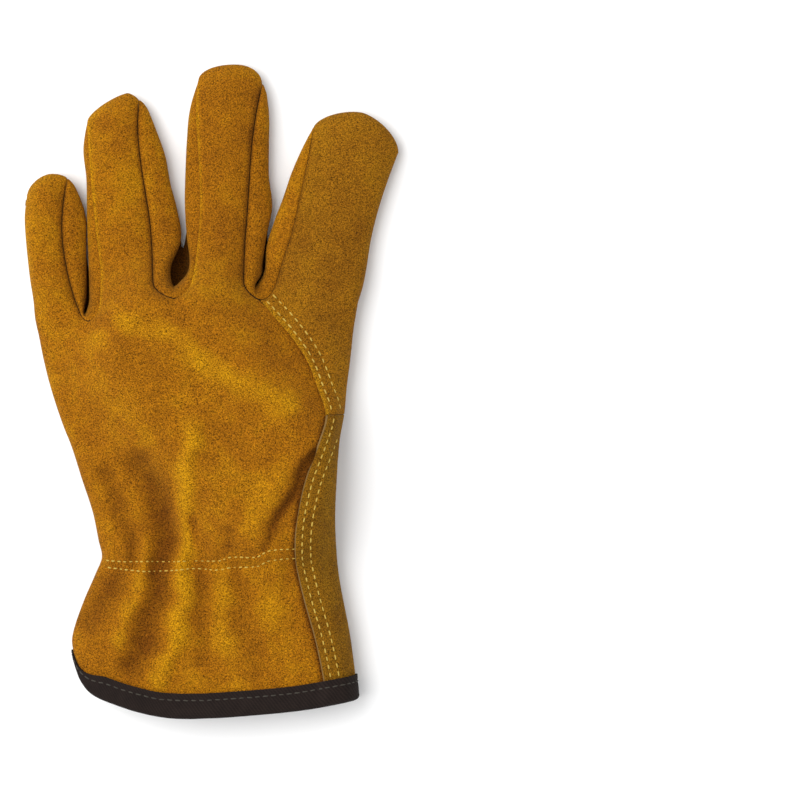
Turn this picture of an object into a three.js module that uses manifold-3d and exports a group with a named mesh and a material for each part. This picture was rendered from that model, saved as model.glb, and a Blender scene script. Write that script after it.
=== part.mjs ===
// A leather driver glove for the left hand, lying flat with its back up. Millimetres.
// +X runs to the thumb side, +Y to the fingertips, +Z out of the back of the hand.
// Every panel is a sheet of leather: an outer surface worked out over the plan of the glove,
// and an inner one a wall's thickness behind it.
import * as THREE from 'three';
import Module from 'manifold-3d';
import { mergeVertices } from 'three/addons/utils/BufferGeometryUtils.js';

// Driving sizes
const handLength = 160;        // hem to the finger roots
const palmWidth = 122;         // across the finger roots, laid flat
const backRise = 10;           // back of the hand above the side seam
const wristRise = 2.5;         // more of it from the wrist to the hem
const palmDrop = 7;            // palm below the side seam
const fingerBackRise = 7.6;    // the same two for a finger near its tip
const fingerPalmDrop = 5.6;
const wall = 1.4;              // split leather
const seamGap = 0.3;           // between two pieces sewn edge to edge
const lapGap = 0.7;            // between two pieces sewn one over the other
const lapOpen = 1;             // between the back and the wrap where they meet beside the web
const rimGap = 0.5;            // between the palm and the thumb round its hole
const hemGap = 0.8;            // between the hem's cut edge and the fold of its tape
const tapeGap = 0.5;           // between the tape's two sides and the leather
const floorGap = 0.2;          // between the tape and the surface that the thumb rests on
const fourchetteWall = 1;      // the strips between the fingers are thinner
const underlap = 8;            // how far the back runs on under a lap
const stripUnder = 7;          // how far the side strip turns under the palm
const webWidth = 0.8;          // clear space between two neighbouring fingers
const webGapTimes = 4;         // the seam gap is this much wider at a web
const bindingWidth = 8;        // tape folded over the hem
const bindingTurn = 0.13;      // up to here across the hand it slants round the side
const bindingSideShare = 0.3;  // the share of its width that lies up the glove there
const tapeThickness = 0.9;
const elasticDepth = 1.6;      // how deep the gathered row pulls the back in
const elasticReach = 7;        // and how far to each side
const thumbLength = 58;        // from the front of its hole to its tip
const thumbWidth = 32;
const thumbHeight = 10.6;      // flattened under the palm
const thumbHoleLength = 38;
const thumbHoleWidth = 30;
const thumbHoleUp = 0.56;      // its middle, as a share of the hand's length
const thumbHoleMargin = 0.8;   // leather left between the hole and the side strip's seam
const thumbLean = -38;         // degrees from +Y, towards the little finger

// Each finger: its length from the root line, width and lean, and where its tip's corners lie
const fingers = {
  little: { length: 59.5, width: 22.5, lean: -5, leftCorner: 0.87, rightCorner: 0.96, apex: 0.2, round: 1.7 },
  ring: { length: 83.5, width: 32, lean: -2.8, leftCorner: 0.885, rightCorner: 0.965, apex: 0.6, round: 1.35 },
  middle: { length: 90.5, width: 31, lean: 3, leftCorner: 0.925, rightCorner: 0.925, apex: 0.23, round: 2 },
  index: { length: 75.2, width: 37, lean: 13.6, leftCorner: 0.87, rightCorner: 0.843, apex: 0, round: 1.6 },
};

// Sections of each finger, from its root (0) to the corners of its tip (1). The places across it
// are shares of its width: its outline on the left, its seams, and its outline on the right.
const fingerRows = {
  little: [
    { along: 0.12, leftEdge: -0.48, rightSeam: 0.27, rightEdge: 0.42 },
    { along: 0.25, leftEdge: -0.485, rightSeam: 0.18, rightEdge: 0.45 },
    { along: 0.4, leftEdge: -0.512, rightSeam: 0.125, rightEdge: 0.47 },
    { along: 0.55, leftEdge: -0.522, rightSeam: 0.1, rightEdge: 0.5 },
    { along: 0.7, leftEdge: -0.525, rightSeam: 0.118, rightEdge: 0.523 },
    { along: 0.85, leftEdge: -0.51, rightSeam: 0.178, rightEdge: 0.455 },
    { along: 1, leftEdge: -0.44, rightSeam: 0.265, rightEdge: 0.325 },
  ],
  ring: [
    { along: 0.06, leftEdge: -0.52, leftSeam: -0.42, rightSeam: 0.325, rightEdge: 0.475 },
    { along: 0.12, leftEdge: -0.513, leftSeam: -0.375, rightSeam: 0.278, rightEdge: 0.49 },
    { along: 0.25, leftEdge: -0.51, leftSeam: -0.356, rightSeam: 0.264, rightEdge: 0.612 },
    { along: 0.4, leftEdge: -0.507, leftSeam: -0.385, rightSeam: 0.25, rightEdge: 0.585 },
    { along: 0.55, leftEdge: -0.498, leftSeam: -0.405, rightSeam: 0.212, rightEdge: 0.515 },
    { along: 0.7, leftEdge: -0.487, leftSeam: -0.418, rightSeam: 0.175, rightEdge: 0.468 },
    { along: 0.85, leftEdge: -0.505, leftSeam: -0.43, rightSeam: 0.16, rightEdge: 0.366 },
    { along: 1, leftEdge: -0.44, leftSeam: -0.39, rightSeam: 0.185, rightEdge: 0.25 },
  ],
  middle: [
    { along: 0.06, leftEdge: -0.41, leftSeam: -0.377, rightSeam: 0.348, rightEdge: 0.51 },
    { along: 0.12, leftEdge: -0.38, leftSeam: -0.32, rightSeam: 0.303, rightEdge: 0.515 },
    { along: 0.25, leftEdge: -0.44, leftSeam: -0.29, rightSeam: 0.287, rightEdge: 0.545 },
    { along: 0.4, leftEdge: -0.484, leftSeam: -0.282, rightSeam: 0.295, rightEdge: 0.595 },
    { along: 0.55, leftEdge: -0.497, leftSeam: -0.307, rightSeam: 0.3, rightEdge: 0.535 },
    { along: 0.7, leftEdge: -0.5, leftSeam: -0.35, rightSeam: 0.306, rightEdge: 0.516 },
    { along: 0.85, leftEdge: -0.485, leftSeam: -0.394, rightSeam: 0.337, rightEdge: 0.497 },
    { along: 1, leftEdge: -0.385, leftSeam: -0.34, rightSeam: 0.378, rightEdge: 0.432 },
  ],
  index: [
    { along: 0.06, leftEdge: -0.54, leftSeam: -0.42, rightEdge: 0.505 },
    { along: 0.12, leftEdge: -0.53, leftSeam: -0.38, rightEdge: 0.498 },
    { along: 0.25, leftEdge: -0.568, leftSeam: -0.365, rightEdge: 0.487 },
    { along: 0.4, leftEdge: -0.553, leftSeam: -0.343, rightEdge: 0.466 },
    { along: 0.55, leftEdge: -0.52, leftSeam: -0.343, rightEdge: 0.463 },
    { along: 0.7, leftEdge: -0.497, leftSeam: -0.352, rightEdge: 0.474 },
    { along: 0.85, leftEdge: -0.452, leftSeam: -0.362, rightEdge: 0.497 },
    { along: 1, leftEdge: -0.383, leftSeam: -0.332, rightEdge: 0.527 },
  ],
};

// The hand, from the hem (0) to the finger roots (1): its outlines on the little finger's side and
// the thumb's side as shares of the palm's width, and the lapped edge as a share of the way across.
const handRows = [
  { up: 0, ulnar: -0.424, radial: 0.461, lap: 0.894 },
  { up: 0.06, ulnar: -0.431, radial: 0.454, lap: 0.893 },
  { up: 0.16, ulnar: -0.4, radial: 0.437, lap: 0.876 },
  { up: 0.26, ulnar: -0.357, radial: 0.413, lap: 0.852 },
  { up: 0.31, ulnar: -0.338, radial: 0.403, lap: 0.84 },
  { up: 0.36, ulnar: -0.348, radial: 0.397, lap: 0.833 },
  { up: 0.45, ulnar: -0.367, radial: 0.393, lap: 0.847 },
  { up: 0.55, ulnar: -0.4, radial: 0.398, lap: 0.881 },
  { up: 0.65, ulnar: -0.432, radial: 0.407, lap: 0.93 },
  { up: 0.718, ulnar: -0.459, radial: 0.421, lap: 0.942 },
  { up: 0.79, ulnar: -0.484, radial: 0.429, lap: 0.905 },
  { up: 0.86, ulnar: -0.505, radial: 0.44, lap: 0.859 },
  { up: 0.93, ulnar: -0.522, radial: 0.449, lap: 0.789 },
  { up: 1, ulnar: -0.536, radial: 0.463, lap: 0.697 },
];
const shortSeam = 0.718;       // where the lap changes from the index wrap to the side strip
const lapStart = 0.94;         // below this the wrap lies over the back, above it they meet
const elasticRow = 0.365;
const wristStart = 0.3;        // the back is at its highest below this

// The hem and the finger roots across the hand, as shares of the hand's length
const hemRows = [
  { across: 0, along: 0.146 }, { across: 0.03, along: 0.1 }, { across: 0.075, along: 0.067 },
  { across: 0.15, along: 0.045 }, { across: 0.23, along: 0.028 }, { across: 0.32, along: 0.015 },
  { across: 0.43, along: 0.012 }, { across: 0.6, along: 0.018 }, { across: 0.78, along: 0.029 },
  { across: 0.87, along: 0.038 }, { across: 1, along: 0.054 },
];
const rootRows = [
  { across: 0, along: 0.912 }, { across: 0.161, along: 0.943 }, { across: 0.4315, along: 0.9955 },
  { across: 0.697, along: 0.994 }, { across: 1, along: 0.988 },
];
// The three webs: where across the roots they lie, and how far the gap's floor lies ahead of the
// back's seam there, as shares of the palm's width
const webs = [
  { across: 0.161, aside: -0.016, ahead: 0.026 },
  { across: 0.4315, aside: -0.004, ahead: 0.041 },
  { across: 0.697, aside: -0.022, ahead: 0.045 },
];
const webDip = 3.2;            // how far the back sinks into each web
const webDipReach = 11;

// Folds of the back: from and to (across and along the hand, as shares), half width, and height
const folds = [
  { x0: 0.3, y0: 0.62, x1: 0.15, y1: 0.44, reach: 8, rise: -3.0 },
  { x0: -0.15, y0: 0.6, x1: -0.11, y1: 0.4, reach: 7, rise: -1.8 },
  { x0: -0.12, y0: 0.36, x1: -0.16, y1: 0.21, reach: 7, rise: -2.0 },
  { x0: -0.27, y0: 0.5, x1: -0.22, y1: 0.38, reach: 6, rise: -1.4 },
  { x0: -0.29, y0: 0.34, x1: -0.34, y1: 0.27, reach: 6, rise: -1.5 },
  { x0: -0.05, y0: 0.62, x1: -0.07, y1: 0.26, reach: 8, rise: 1.5 },
  { x0: -0.07, y0: 0.26, x1: -0.17, y1: 0.08, reach: 7, rise: 1.6 },
  { x0: -0.2, y0: 0.46, x1: -0.24, y1: 0.24, reach: 7, rise: 1.4 },
  { x0: 0.06, y0: 0.35, x1: 0.05, y1: 0.2, reach: 7, rise: 1.0 },
  { x0: 0.2, y0: 0.32, x1: 0.24, y1: 0.14, reach: 8, rise: -1.2 },
];

// Small tools
const lerp = (a, b, t) => a + (b - a) * t;
const clamp = (t, low = 0, high = 1) => Math.min(high, Math.max(low, t));
const smooth = (from, to, t) => {
  const k = clamp((t - from) / (to - from));
  return k * k * (3 - 2 * k);
};
const range = (count, f) => Array.from({ length: count + 1 }, (_, k) => f(k / count));
const roundOver = (t, power) => Math.max(0, 1 - Math.abs(t) ** power) ** (1 / power);
const plan = (x, y) => new THREE.Vector2(x, y);

// A smooth curve through the rows of a table: a cubic whose slopes come from the row before and after
function curve(rows, key, value) {
  const t = rows.map((row) => row[key]);
  const f = rows.map((row) => row[value]);
  const slope = f.map((_, k) => {
    const a = Math.max(0, k - 1);
    const b = Math.min(f.length - 1, k + 1);
    return (f[b] - f[a]) / (t[b] - t[a]);
  });
  return (at) => {
    let k = 0;
    while (k < t.length - 2 && at > t[k + 1]) k += 1;
    const h = t[k + 1] - t[k];
    const s = clamp((at - t[k]) / h);
    const s2 = s * s;
    const s3 = s2 * s;
    return f[k] * (2 * s3 - 3 * s2 + 1) + slope[k] * h * (s3 - 2 * s2 + s)
      + f[k + 1] * (3 * s2 - 2 * s3) + slope[k + 1] * h * (s3 - s2);
  };
}

// The hand's plan
const ulnarX = curve(handRows, 'up', 'ulnar');
const radialX = curve(handRows, 'up', 'radial');
const lapAcross = curve(handRows, 'up', 'lap');
const hemAlong = curve(hemRows, 'across', 'along');
const rootAlong = curve(rootRows, 'across', 'along');
const widthAt = (up) => palmWidth * (radialX(up) - ulnarX(up));
const lengthAt = (across) => handLength * (rootAlong(across) - hemAlong(across));

function handPlan(across, up) {
  return plan(palmWidth * lerp(ulnarX(up), radialX(up), across),
    handLength * lerp(hemAlong(across), rootAlong(across), up));
}

// The place on the hand that lies under a point of the plan
function handPlace(point) {
  let across = 0.5;
  let up = 0.5;
  for (let round = 0; round < 12; round += 1) {
    up = (point.y / handLength - hemAlong(across)) / (rootAlong(across) - hemAlong(across));
    across = clamp((point.x / palmWidth - ulnarX(up)) / (radialX(up) - ulnarX(up)));
  }
  return { across, up };
}

// The thumb lies under the palm, so everything above it is lifted
const thumbAim = plan(Math.sin(THREE.MathUtils.degToRad(thumbLean)),
  Math.cos(THREE.MathUtils.degToRad(thumbLean)));
const thumbSide = plan(thumbAim.y, -thumbAim.x);
const holeHalfSpan = Math.hypot(thumbHoleLength * thumbAim.x, thumbHoleWidth * thumbAim.y) / 2;
const holeCentre = handPlan(
  1 - (stripUnder + thumbHoleMargin + holeHalfSpan) / widthAt(thumbHoleUp), thumbHoleUp);
const thumbFront = holeCentre.clone().addScaledVector(thumbAim, thumbHoleLength / 2);
const thumbTip = thumbFront.clone().addScaledVector(thumbAim, thumbLength);
const liftFlat = thumbWidth / 2 + 2;       // the hand lies level this far from the thumb's middle
const liftFall = 27;                       // and comes down over this much more
const hemRise = tapeThickness + tapeGap + floorGap;

function distanceToLine(point, from, to) {
  const line = to.clone().sub(from);
  const t = clamp(point.clone().sub(from).dot(line) / line.lengthSq());
  return point.distanceTo(from.clone().addScaledVector(line, t));
}

function lift(point) {
  const tipCentre = thumbTip.clone().addScaledVector(thumbAim, -thumbWidth / 2);
  const reach = distanceToLine(point, holeCentre, tipCentre);
  const overThumb = (thumbHeight + lapGap) * (1 - smooth(liftFlat, liftFlat + liftFall, reach));
  const atHem = hemRise * (1 - smooth(0.03, 0.22, point.y / handLength));
  return Math.max(overThumb, atHem);
}

// How far the back sinks or rises: webs, folds and the gathered row
const webPoints = webs.map((web) => handPlan(web.across, 1));

function relief(point) {
  const { y } = point;
  let rise = 0;
  for (const fold of folds) {
    const from = plan(fold.x0 * palmWidth, fold.y0 * handLength);
    const to = plan(fold.x1 * palmWidth, fold.y1 * handLength);
    const near = 1 - clamp(distanceToLine(point, from, to) / fold.reach);
    rise += fold.rise * near * near * (3 - 2 * near);
  }
  const row = clamp(1 - Math.abs(y - elasticRow * handLength) / elasticReach);
  return rise - elasticDepth * row * row;
}

function webSink(point) {
  const near = Math.min(...webPoints.map((web) => web.distanceTo(point)));
  const k = clamp(1 - near / webDipReach);
  return webDip * k * k;
}

// Heights of the hand over its plan. The powers say how square the sections' sides are.
const handRound = 3.2;
const sideRound = 2.6;
const handProfile = (across) => roundOver(2 * across - 1, handRound);

function handBack(across, up) {
  const p = handPlan(across, up);
  const side = handProfile(across);
  const rise = backRise + wristRise * (1 - smooth(wristStart, wristStart + 0.2, up)) + relief(p);
  return lift(p) + palmDrop + side * (rise - webSink(p));
}

function handPalm(across, up) {
  const p = handPlan(across, up);
  return lift(p) + palmDrop * (1 - handProfile(across));
}

// How far a lapping piece is lifted over the back: fully above the underlap, then down to nothing
// before the side. The underlap takes no more than a share of the width left to the side.
const coverShare = 0.3;
const lapFall = 14;
const lapCover = (up) => Math.min(underlap, coverShare * (1 - lapAcross(up)) * widthAt(up));

function lapLift(across, up) {
  const inFrom = (across - lapAcross(up)) * widthAt(up);
  const toSide = (1 - lapAcross(up)) * widthAt(up);
  const cover = lapCover(up);
  const fade = 1 - smooth(1.6 * cover, Math.min(toSide, cover + lapFall), inFrom);
  return (wall + lapGap) * fade * (1 - smooth(lapStart, 1, up));
}

// A finger's plan and heights. Its frame starts midway between its two roots. A panel that stops
// short of the right root has that much less of the hand's width.
function makeFinger(name, from, rightRoot, shortBy = 0) {
  const to = rightRoot - shortBy;
  const size = fingers[name];
  const rows = fingerRows[name];
  const rootLeft = handPlan(from, 1);
  const rootRight = handPlan(to, 1);
  const centre = rootLeft.clone().add(handPlan(rightRoot, 1)).multiplyScalar(0.5);
  const lean = THREE.MathUtils.degToRad(size.lean);
  const aim = plan(Math.sin(lean), Math.cos(lean));
  const side = plan(aim.y, -aim.x);
  const place = (along, across) => centre.clone()
    .addScaledVector(aim, along * size.length).addScaledVector(side, across * size.width);
  const local = (point) => {
    const d = point.clone().sub(centre);
    return { along: d.dot(aim) / size.length, across: d.dot(side) / size.width };
  };

  // One long edge of the finger, seam or outline, from a root point to its tip's corner
  function edge(root, key, corner) {
    const start = local(root);
    const across = curve([{ along: 0, [key]: start.across }, ...rows], 'along', key);
    return (t) => place(lerp(start.along, corner, t), across(t));
  }

  const webFloor = (at) => {
    const web = webs.reduce((best, row) => (Math.abs(row.across - at) < Math.abs(best.across - at) ? row : best));
    const p = handPlan(web.across, 1);
    return plan(p.x + web.aside * palmWidth, p.y + web.ahead * palmWidth);
  };
  const hasLeft = rows[0].leftSeam !== undefined;
  const hasRight = rows[0].rightSeam !== undefined;
  const half = webWidth / 2;
  const left = {
    seam: edge(rootLeft, hasLeft ? 'leftSeam' : 'leftEdge', size.leftCorner),
    edge: hasLeft ? edge(webFloor(from).add(plan(half, 0)), 'leftEdge', size.leftCorner) : null,
  };
  const right = {
    seam: edge(rootRight, hasRight ? 'rightSeam' : 'rightEdge', size.rightCorner),
    edge: hasRight ? edge(webFloor(to).sub(plan(half, 0)), 'rightEdge', size.rightCorner) : null,
  };

  // The outer edge of a fourchette closes on its seam in a quarter round at the tip
  const closeFrom = 0.93;
  const outline = (sideEdges, t) => {
    const seam = sideEdges.seam(t);
    const swell = roundOver(Math.max(0, (t - closeFrom) / (1 - closeFrom)), 2);
    return seam.clone().lerp(sideEdges.edge(t), swell);
  };
  // The palm's seams lie a share of the way out from the back's
  const palmSeamOut = 0.3;
  const palmSeam = (sideEdges, t) => (sideEdges.edge
    ? sideEdges.seam(t).lerp(outline(sideEdges, t), palmSeamOut * smooth(0, 0.2, t))
    : sideEdges.seam(t));

  // A panel stops half a gap short of its seam, away from the outline
  const trimmed = (sideEdges, t, palm) => {
    const seam = palm ? palmSeam(sideEdges, t) : sideEdges.seam(t);
    if (!sideEdges.edge || t === 0) return seam;
    const away = sideEdges.edge(t).sub(seam).normalize();
    return seam.addScaledVector(away, -seamGap / 2);
  };

  // Plan of a panel of this finger: t from root to tip, q from its left edge (-1) to its right (1)
  function panelPlan(t, q, palm) {
    const a = trimmed(left, t, palm);
    const b = trimmed(right, t, palm);
    const s = (q + 1) / 2;
    const bow = handPlan(lerp(from, to, s), 1).sub(rootLeft.clone().lerp(rootRight, s));
    const body = a.clone().lerp(b, s).addScaledVector(bow, 1 - smooth(0, 0.25, t));
    const fromApex = q < size.apex ? (size.apex - q) / (1 + size.apex) : (q - size.apex) / (1 - size.apex);
    const reach = lerp(q < size.apex ? size.leftCorner : size.rightCorner, 1, roundOver(fromApex, size.round));
    const chord = lerp(size.leftCorner, size.rightCorner, s);
    return body.addScaledVector(aim, (reach - chord) * size.length * smooth(0, 1, t) * t);
  }

  // Height of the section: a wrapped side is rounded down to the side seam, a sewn side stops above
  const sewn = 0.62;
  function section(q) {
    const seam = q < 0 ? hasLeft : hasRight;
    return seam ? 1 - (1 - sewn) * q * q : roundOver(q, sideRound);
  }
  const tipFrom = 0.7;
  const tipRound = (t) => roundOver(Math.max(0, (t - tipFrom) / (1 - tipFrom)), 2);
  const drop = (t) => lerp(palmDrop, fingerPalmDrop, smooth(0, 0.4, t));
  const rise = (t) => lerp(backRise, fingerBackRise, smooth(0, 0.4, t));
  const sideHeight = (t, point) => lift(point) + drop(t);

  function height(t, q, palm, point) {
    const across = lerp(from, to, (q + 1) / 2);
    const w = smooth(0, 0.32, t);
    const root = handProfile(across);
    const shape = lerp(root, section(q), w) * tipRound(t);
    if (palm) return sideHeight(t, point) - drop(t) * shape;
    const sink = (1 - w) * root * webSink(handPlan(across, 1));
    return sideHeight(t, point) + rise(t) * shape - sink;
  }

  return { from, to, left, right, hasLeft, hasRight, panelPlan, palmSeam, outline, height, sideHeight };
}

const little = makeFinger('little', 0, webs[0].across);
const ring = makeFinger('ring', webs[0].across, webs[1].across);
const middle = makeFinger('middle', webs[1].across, webs[2].across);
const middleBack = makeFinger('middle', webs[1].across, webs[2].across, lapOpen / widthAt(1));
const index = makeFinger('index', webs[2].across, 1);

// A sheet of leather: patches of grid that share their edges, thickened inwards
class Sheet {
  constructor() {
    this.points = [];
    this.marks = [];
    this.faces = [];
    this.found = new Map();
  }

  vertex(point, mark) {
    const key = [point.x, point.y, point.z].map((v) => Math.round(v * 1000)).join(',');
    if (!this.found.has(key)) {
      this.found.set(key, this.points.length);
      this.points.push(point);
      this.marks.push({ level: false, wall, ...mark });
    }
    return this.found.get(key);
  }

  // at(row, column) gives a point and its mark. The outside is up, or down for an under side.
  patch(rows, columns, at, under = false) {
    const grid = rows.map((row) => columns.map((column) => {
      const { point, ...mark } = at(row, column);
      return this.vertex(point, mark);
    }));
    for (let i = 0; i + 1 < rows.length; i += 1) {
      for (let j = 0; j + 1 < columns.length; j += 1) {
        const [a, b, c, d] = [grid[i][j], grid[i][j + 1], grid[i + 1][j + 1], grid[i + 1][j]];
        this.triangle(a, b, c, under);
        this.triangle(a, c, d, under);
      }
    }
  }

  triangle(a, b, c, under) {
    if (a === b || b === c || c === a) return;
    this.faces.push(under ? [a, c, b] : [a, b, c]);
  }

  solid() {
    const normals = this.points.map(() => new THREE.Vector3());
    const edges = new Map();
    for (const face of this.faces) {
      const [a, b, c] = face.map((k) => this.points[k]);
      const area = b.clone().sub(a).cross(c.clone().sub(a));
      face.forEach((k) => normals[k].add(area));
      face.forEach((k, n) => edges.set(`${k},${face[(n + 1) % 3]}`, [k, face[(n + 1) % 3]]));
    }
    const inner = this.points.map((point, k) => {
      const { level, plumb, wall: thickness } = this.marks[k];
      const normal = normals[k];
      if (level) normal.z = 0;
      if (plumb) normal.set(0, 0, normal.z);
      return point.clone().addScaledVector(normal.normalize(), -thickness);
    });
    const count = this.points.length;
    const triangles = this.faces.flatMap(([a, b, c]) => [[a, b, c], [a + count, c + count, b + count]]);
    for (const [a, b] of edges.values()) {
      if (edges.has(`${b},${a}`)) continue;
      triangles.push([b, a, a + count], [b, a + count, b + count]);
    }
    return toGeometry([...this.points, ...inner], triangles);
  }
}

function toGeometry(points, triangles) {
  const geometry = new THREE.BufferGeometry();
  geometry.setAttribute('position', new THREE.Float32BufferAttribute(points.flatMap((p) => p.toArray()), 3));
  geometry.setIndex(triangles.flat());
  return geometry;
}

const at3 = (point, z) => new THREE.Vector3(point.x, point.y, z);

// Rows and columns of the grids. Columns crowd towards a rounded side, rows towards a fingertip.
const fingerTs = [0, 0.04, 0.1, 0.18, 0.28, 0.4, 0.52, 0.64, 0.74, 0.83, 0.91, 0.97, 1];
const handUps = [0, 0.05, 0.11, 0.17, 0.23, 0.29, 0.33, 0.365, 0.4, 0.45, 0.51, 0.58, 0.65, shortSeam,
  0.77, 0.82, 0.87, 0.91, lapStart, 0.97, 1];
const even = (cells) => range(cells, (t) => 2 * t - 1);
const crowdLeft = (cells) => range(cells, (t) => 1 - 2 * Math.cos(t * Math.PI / 2));
const crowdRight = (cells) => range(cells, (t) => 2 * Math.sin(t * Math.PI / 2) - 1);
const toAcross = (finger, q) => lerp(finger.from, finger.to, (q + 1) / 2);

function addFingerPanel(sheet, finger, columns, palm) {
  const levelGap = (palm ? -1 : 1) * seamGap / 2;
  sheet.patch(fingerTs, columns, (t, q) => {
    const point = finger.panelPlan(t, q, palm);
    const wrapped = (q === -1 && !finger.hasLeft) || (q === 1 && !finger.hasRight);
    const folded = finger === index && q === 1;
    const level = t === 1 || wrapped;
    const gap = level && !folded ? levelGap : 0;
    return { point: at3(point, finger.height(t, q, palm, point) + gap), level, plumb: !level && Math.abs(q) === 1 };
  }, palm);
}

// Back of the hand with the backs of three fingers
function backPanel() {
  const sheet = new Sheet();
  addFingerPanel(sheet, little, crowdLeft(5), false);
  addFingerPanel(sheet, ring, even(5), false);
  addFingerPanel(sheet, middleBack, even(6), false);
  const handAt = (up, across) => {
    const level = across === 0;
    const point = handPlan(across, up);
    return { point: at3(point, handBack(across, up) + (level ? seamGap / 2 : 0)), level };
  };
  sheet.patch(handUps, crowdLeft(5).map((q) => toAcross(little, q)), handAt);
  sheet.patch(handUps, even(5).map((q) => toAcross(ring, q)), handAt);
  const underEdge = (up) => lapAcross(up) - (up >= lapStart ? lapOpen / widthAt(1) : 0);
  sheet.patch(handUps, even(6), (up, q) => handAt(up, lerp(webs[1].across, underEdge(up), (q + 1) / 2)));
  const underRows = handUps.filter((up) => up <= lapStart);
  sheet.patch(underRows, [0, 0.5, 1], (up, s) => {
    const cover = up >= lapStart ? 0 : lapCover(up) / widthAt(up);
    return handAt(up, underEdge(up) + cover * s);
  });
  return sheet.solid();
}

// Palm with the undersides of the fingers, folded round the thumb side of the hand to make the back
// of the index finger, and ending in the lapped edge
const stripAcross = (up) => 1 - stripUnder / widthAt(up);

function palmPanel() {
  const sheet = new Sheet();
  const folding = even(3).map((q) => lerp(-1, 2 * (stripAcross(1) - index.from) / (1 - index.from) - 1, (q + 1) / 2));
  const turning = crowdRight(3).slice(1).map((q) => lerp(folding[3], 1, (q + 1) / 2));
  addFingerPanel(sheet, little, crowdLeft(5), true);
  addFingerPanel(sheet, ring, even(4), true);
  addFingerPanel(sheet, middle, even(4), true);
  addFingerPanel(sheet, index, [...folding, ...turning], true);
  addFingerPanel(sheet, index, crowdRight(6), false);
  const handAt = (up, across) => {
    const level = across === 0;
    return { point: at3(handPlan(across, up), handPalm(across, up) - (level ? seamGap / 2 : 0)), level };
  };
  sheet.patch(handUps, crowdLeft(5).map((q) => toAcross(little, q)), handAt, true);
  sheet.patch(handUps, even(4).map((q) => toAcross(ring, q)), handAt, true);
  sheet.patch(handUps, even(4).map((q) => toAcross(middle, q)), handAt, true);
  sheet.patch(handUps, even(3), (up, q) => {
    const trim = up < shortSeam ? seamGap / widthAt(up) : 0;
    return handAt(up, lerp(index.from, stripAcross(up) - trim, (q + 1) / 2));
  }, true);
  const wrapUps = handUps.filter((up) => up >= shortSeam);
  sheet.patch(wrapUps, crowdRight(3), (up, q) => handAt(up, lerp(stripAcross(up), 1, (q + 1) / 2)), true);
  sheet.patch(wrapUps, crowdRight(6), (up, q) => {
    const across = lerp(lapAcross(up), 1, (q + 1) / 2);
    const z = q === 1 ? handPalm(1, up) : handBack(across, up) + lapLift(across, up);
    return { point: at3(handPlan(across, up), z) };
  });
  return sheet.solid();
}

// The lower thumb side: laps over the back, turns round the side and under the palm
function sideStrip() {
  const sheet = new Sheet();
  const top = shortSeam - 1.5 * seamGap / lengthAt(1);
  const ups = [...handUps.filter((up) => up < shortSeam), top];
  const backAt = (up, across) => ({
    point: at3(handPlan(across, up), across === 1 ? handPalm(1, up) : handBack(across, up) + lapLift(across, up)),
  });
  sheet.patch(ups, [0, 0.5, 1], (up, s) => backAt(up, lapAcross(up) + s * lapCover(up) / widthAt(up)));
  sheet.patch(ups, crowdRight(4), (up, q) => {
    const from = lapAcross(up) + lapCover(up) / widthAt(up);
    return backAt(up, q === 1 ? 1 : lerp(from, 1, (q + 1) / 2));
  });
  sheet.patch(ups, crowdRight(3), (up, q) => {
    const across = lerp(stripAcross(up), 1, (q + 1) / 2);
    return { point: at3(handPlan(across, up), handPalm(across, up)) };
  }, true);
  return sheet.solid();
}

// A strip that makes the facing sides of two fingers: down one, round the web and up the other.
// Its section is half an ellipse from the back's seam out to the outline and in to the palm's seam.
function fourchette(first, second) {
  const sheet = new Sheet();
  const lastRow = fingerTs.length - 1;
  const arms = [
    ...fingerTs.slice(0, lastRow).map((t) => ({ finger: first, side: first.right, q: 1, t })).reverse(),
    ...fingerTs.slice(1, lastRow).map((t) => ({ finger: second, side: second.left, q: -1, t })),
  ];
  sheet.patch(arms, range(6, (s) => s * Math.PI), ({ finger, side, q, t }, turn) => {
    const back = side.seam(t);
    const out = finger.outline(side, t);
    const palm = finger.palmSeam(side, t);
    if (t === 0) out.x = handPlan(first.to, 1).x + webs.find((web) => web.across === first.to).aside * palmWidth;
    const overBack = turn <= Math.PI / 2;
    const seam = overBack ? back : palm;
    const away = out.clone().sub(seam);
    const spread = away.length();
    const gap = seamGap * (t === 0 ? webGapTimes : 1);
    seam.addScaledVector(away, Math.min(0.5, gap / Math.max(spread, 0.01)));
    const point = seam.clone().lerp(out, Math.sin(turn));
    const seamHeight = finger.height(t, q, !overBack, seam);
    const middleHeight = finger.sideHeight(t, out);
    const z = lerp(middleHeight, seamHeight, Math.abs(Math.cos(turn)));
    const sewn = turn === 0 || turn === Math.PI;
    return { point: at3(point, z), plumb: sewn, wall: fourchetteWall * (t > 0.93 ? 0.6 : 1) };
  }, true);
  return sheet.solid();
}

// Thumb: its own frame runs from the front of its hole (0) to its tip, and back to the hole's rear
const holeHalf = thumbHoleLength / 2;
const thumbMiddle = thumbHeight / 2;
const palmUnder = (point) => {
  const { across, up } = handPlace(point);
  return handPalm(across, up);
};
const thumbPlan = (along, side) => thumbFront.clone()
  .addScaledVector(thumbAim, along).addScaledVector(thumbSide, side);
const holeRim = thumbHoleWidth / 2 + wall;

const thumbTaper = 0.14;       // how much narrower its tip is
const thumbArch = 0.28;        // share of its length in the arch of the tip
const thumbArchRound = 2.2;
const thumbLevelTo = 0.35;     // the side seam has come down to half height here
const thumbCloseFrom = 0.75;   // the two halves start to close at the tip
const thumbRearTo = 0.3;       // and the lower half rises to the rear of the hole before this
const backFullness = 1.06;     // above 1, the top or bottom is flat across the middle
const frontFullness = 1.12;
const rearFullness = 1.04;

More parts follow.
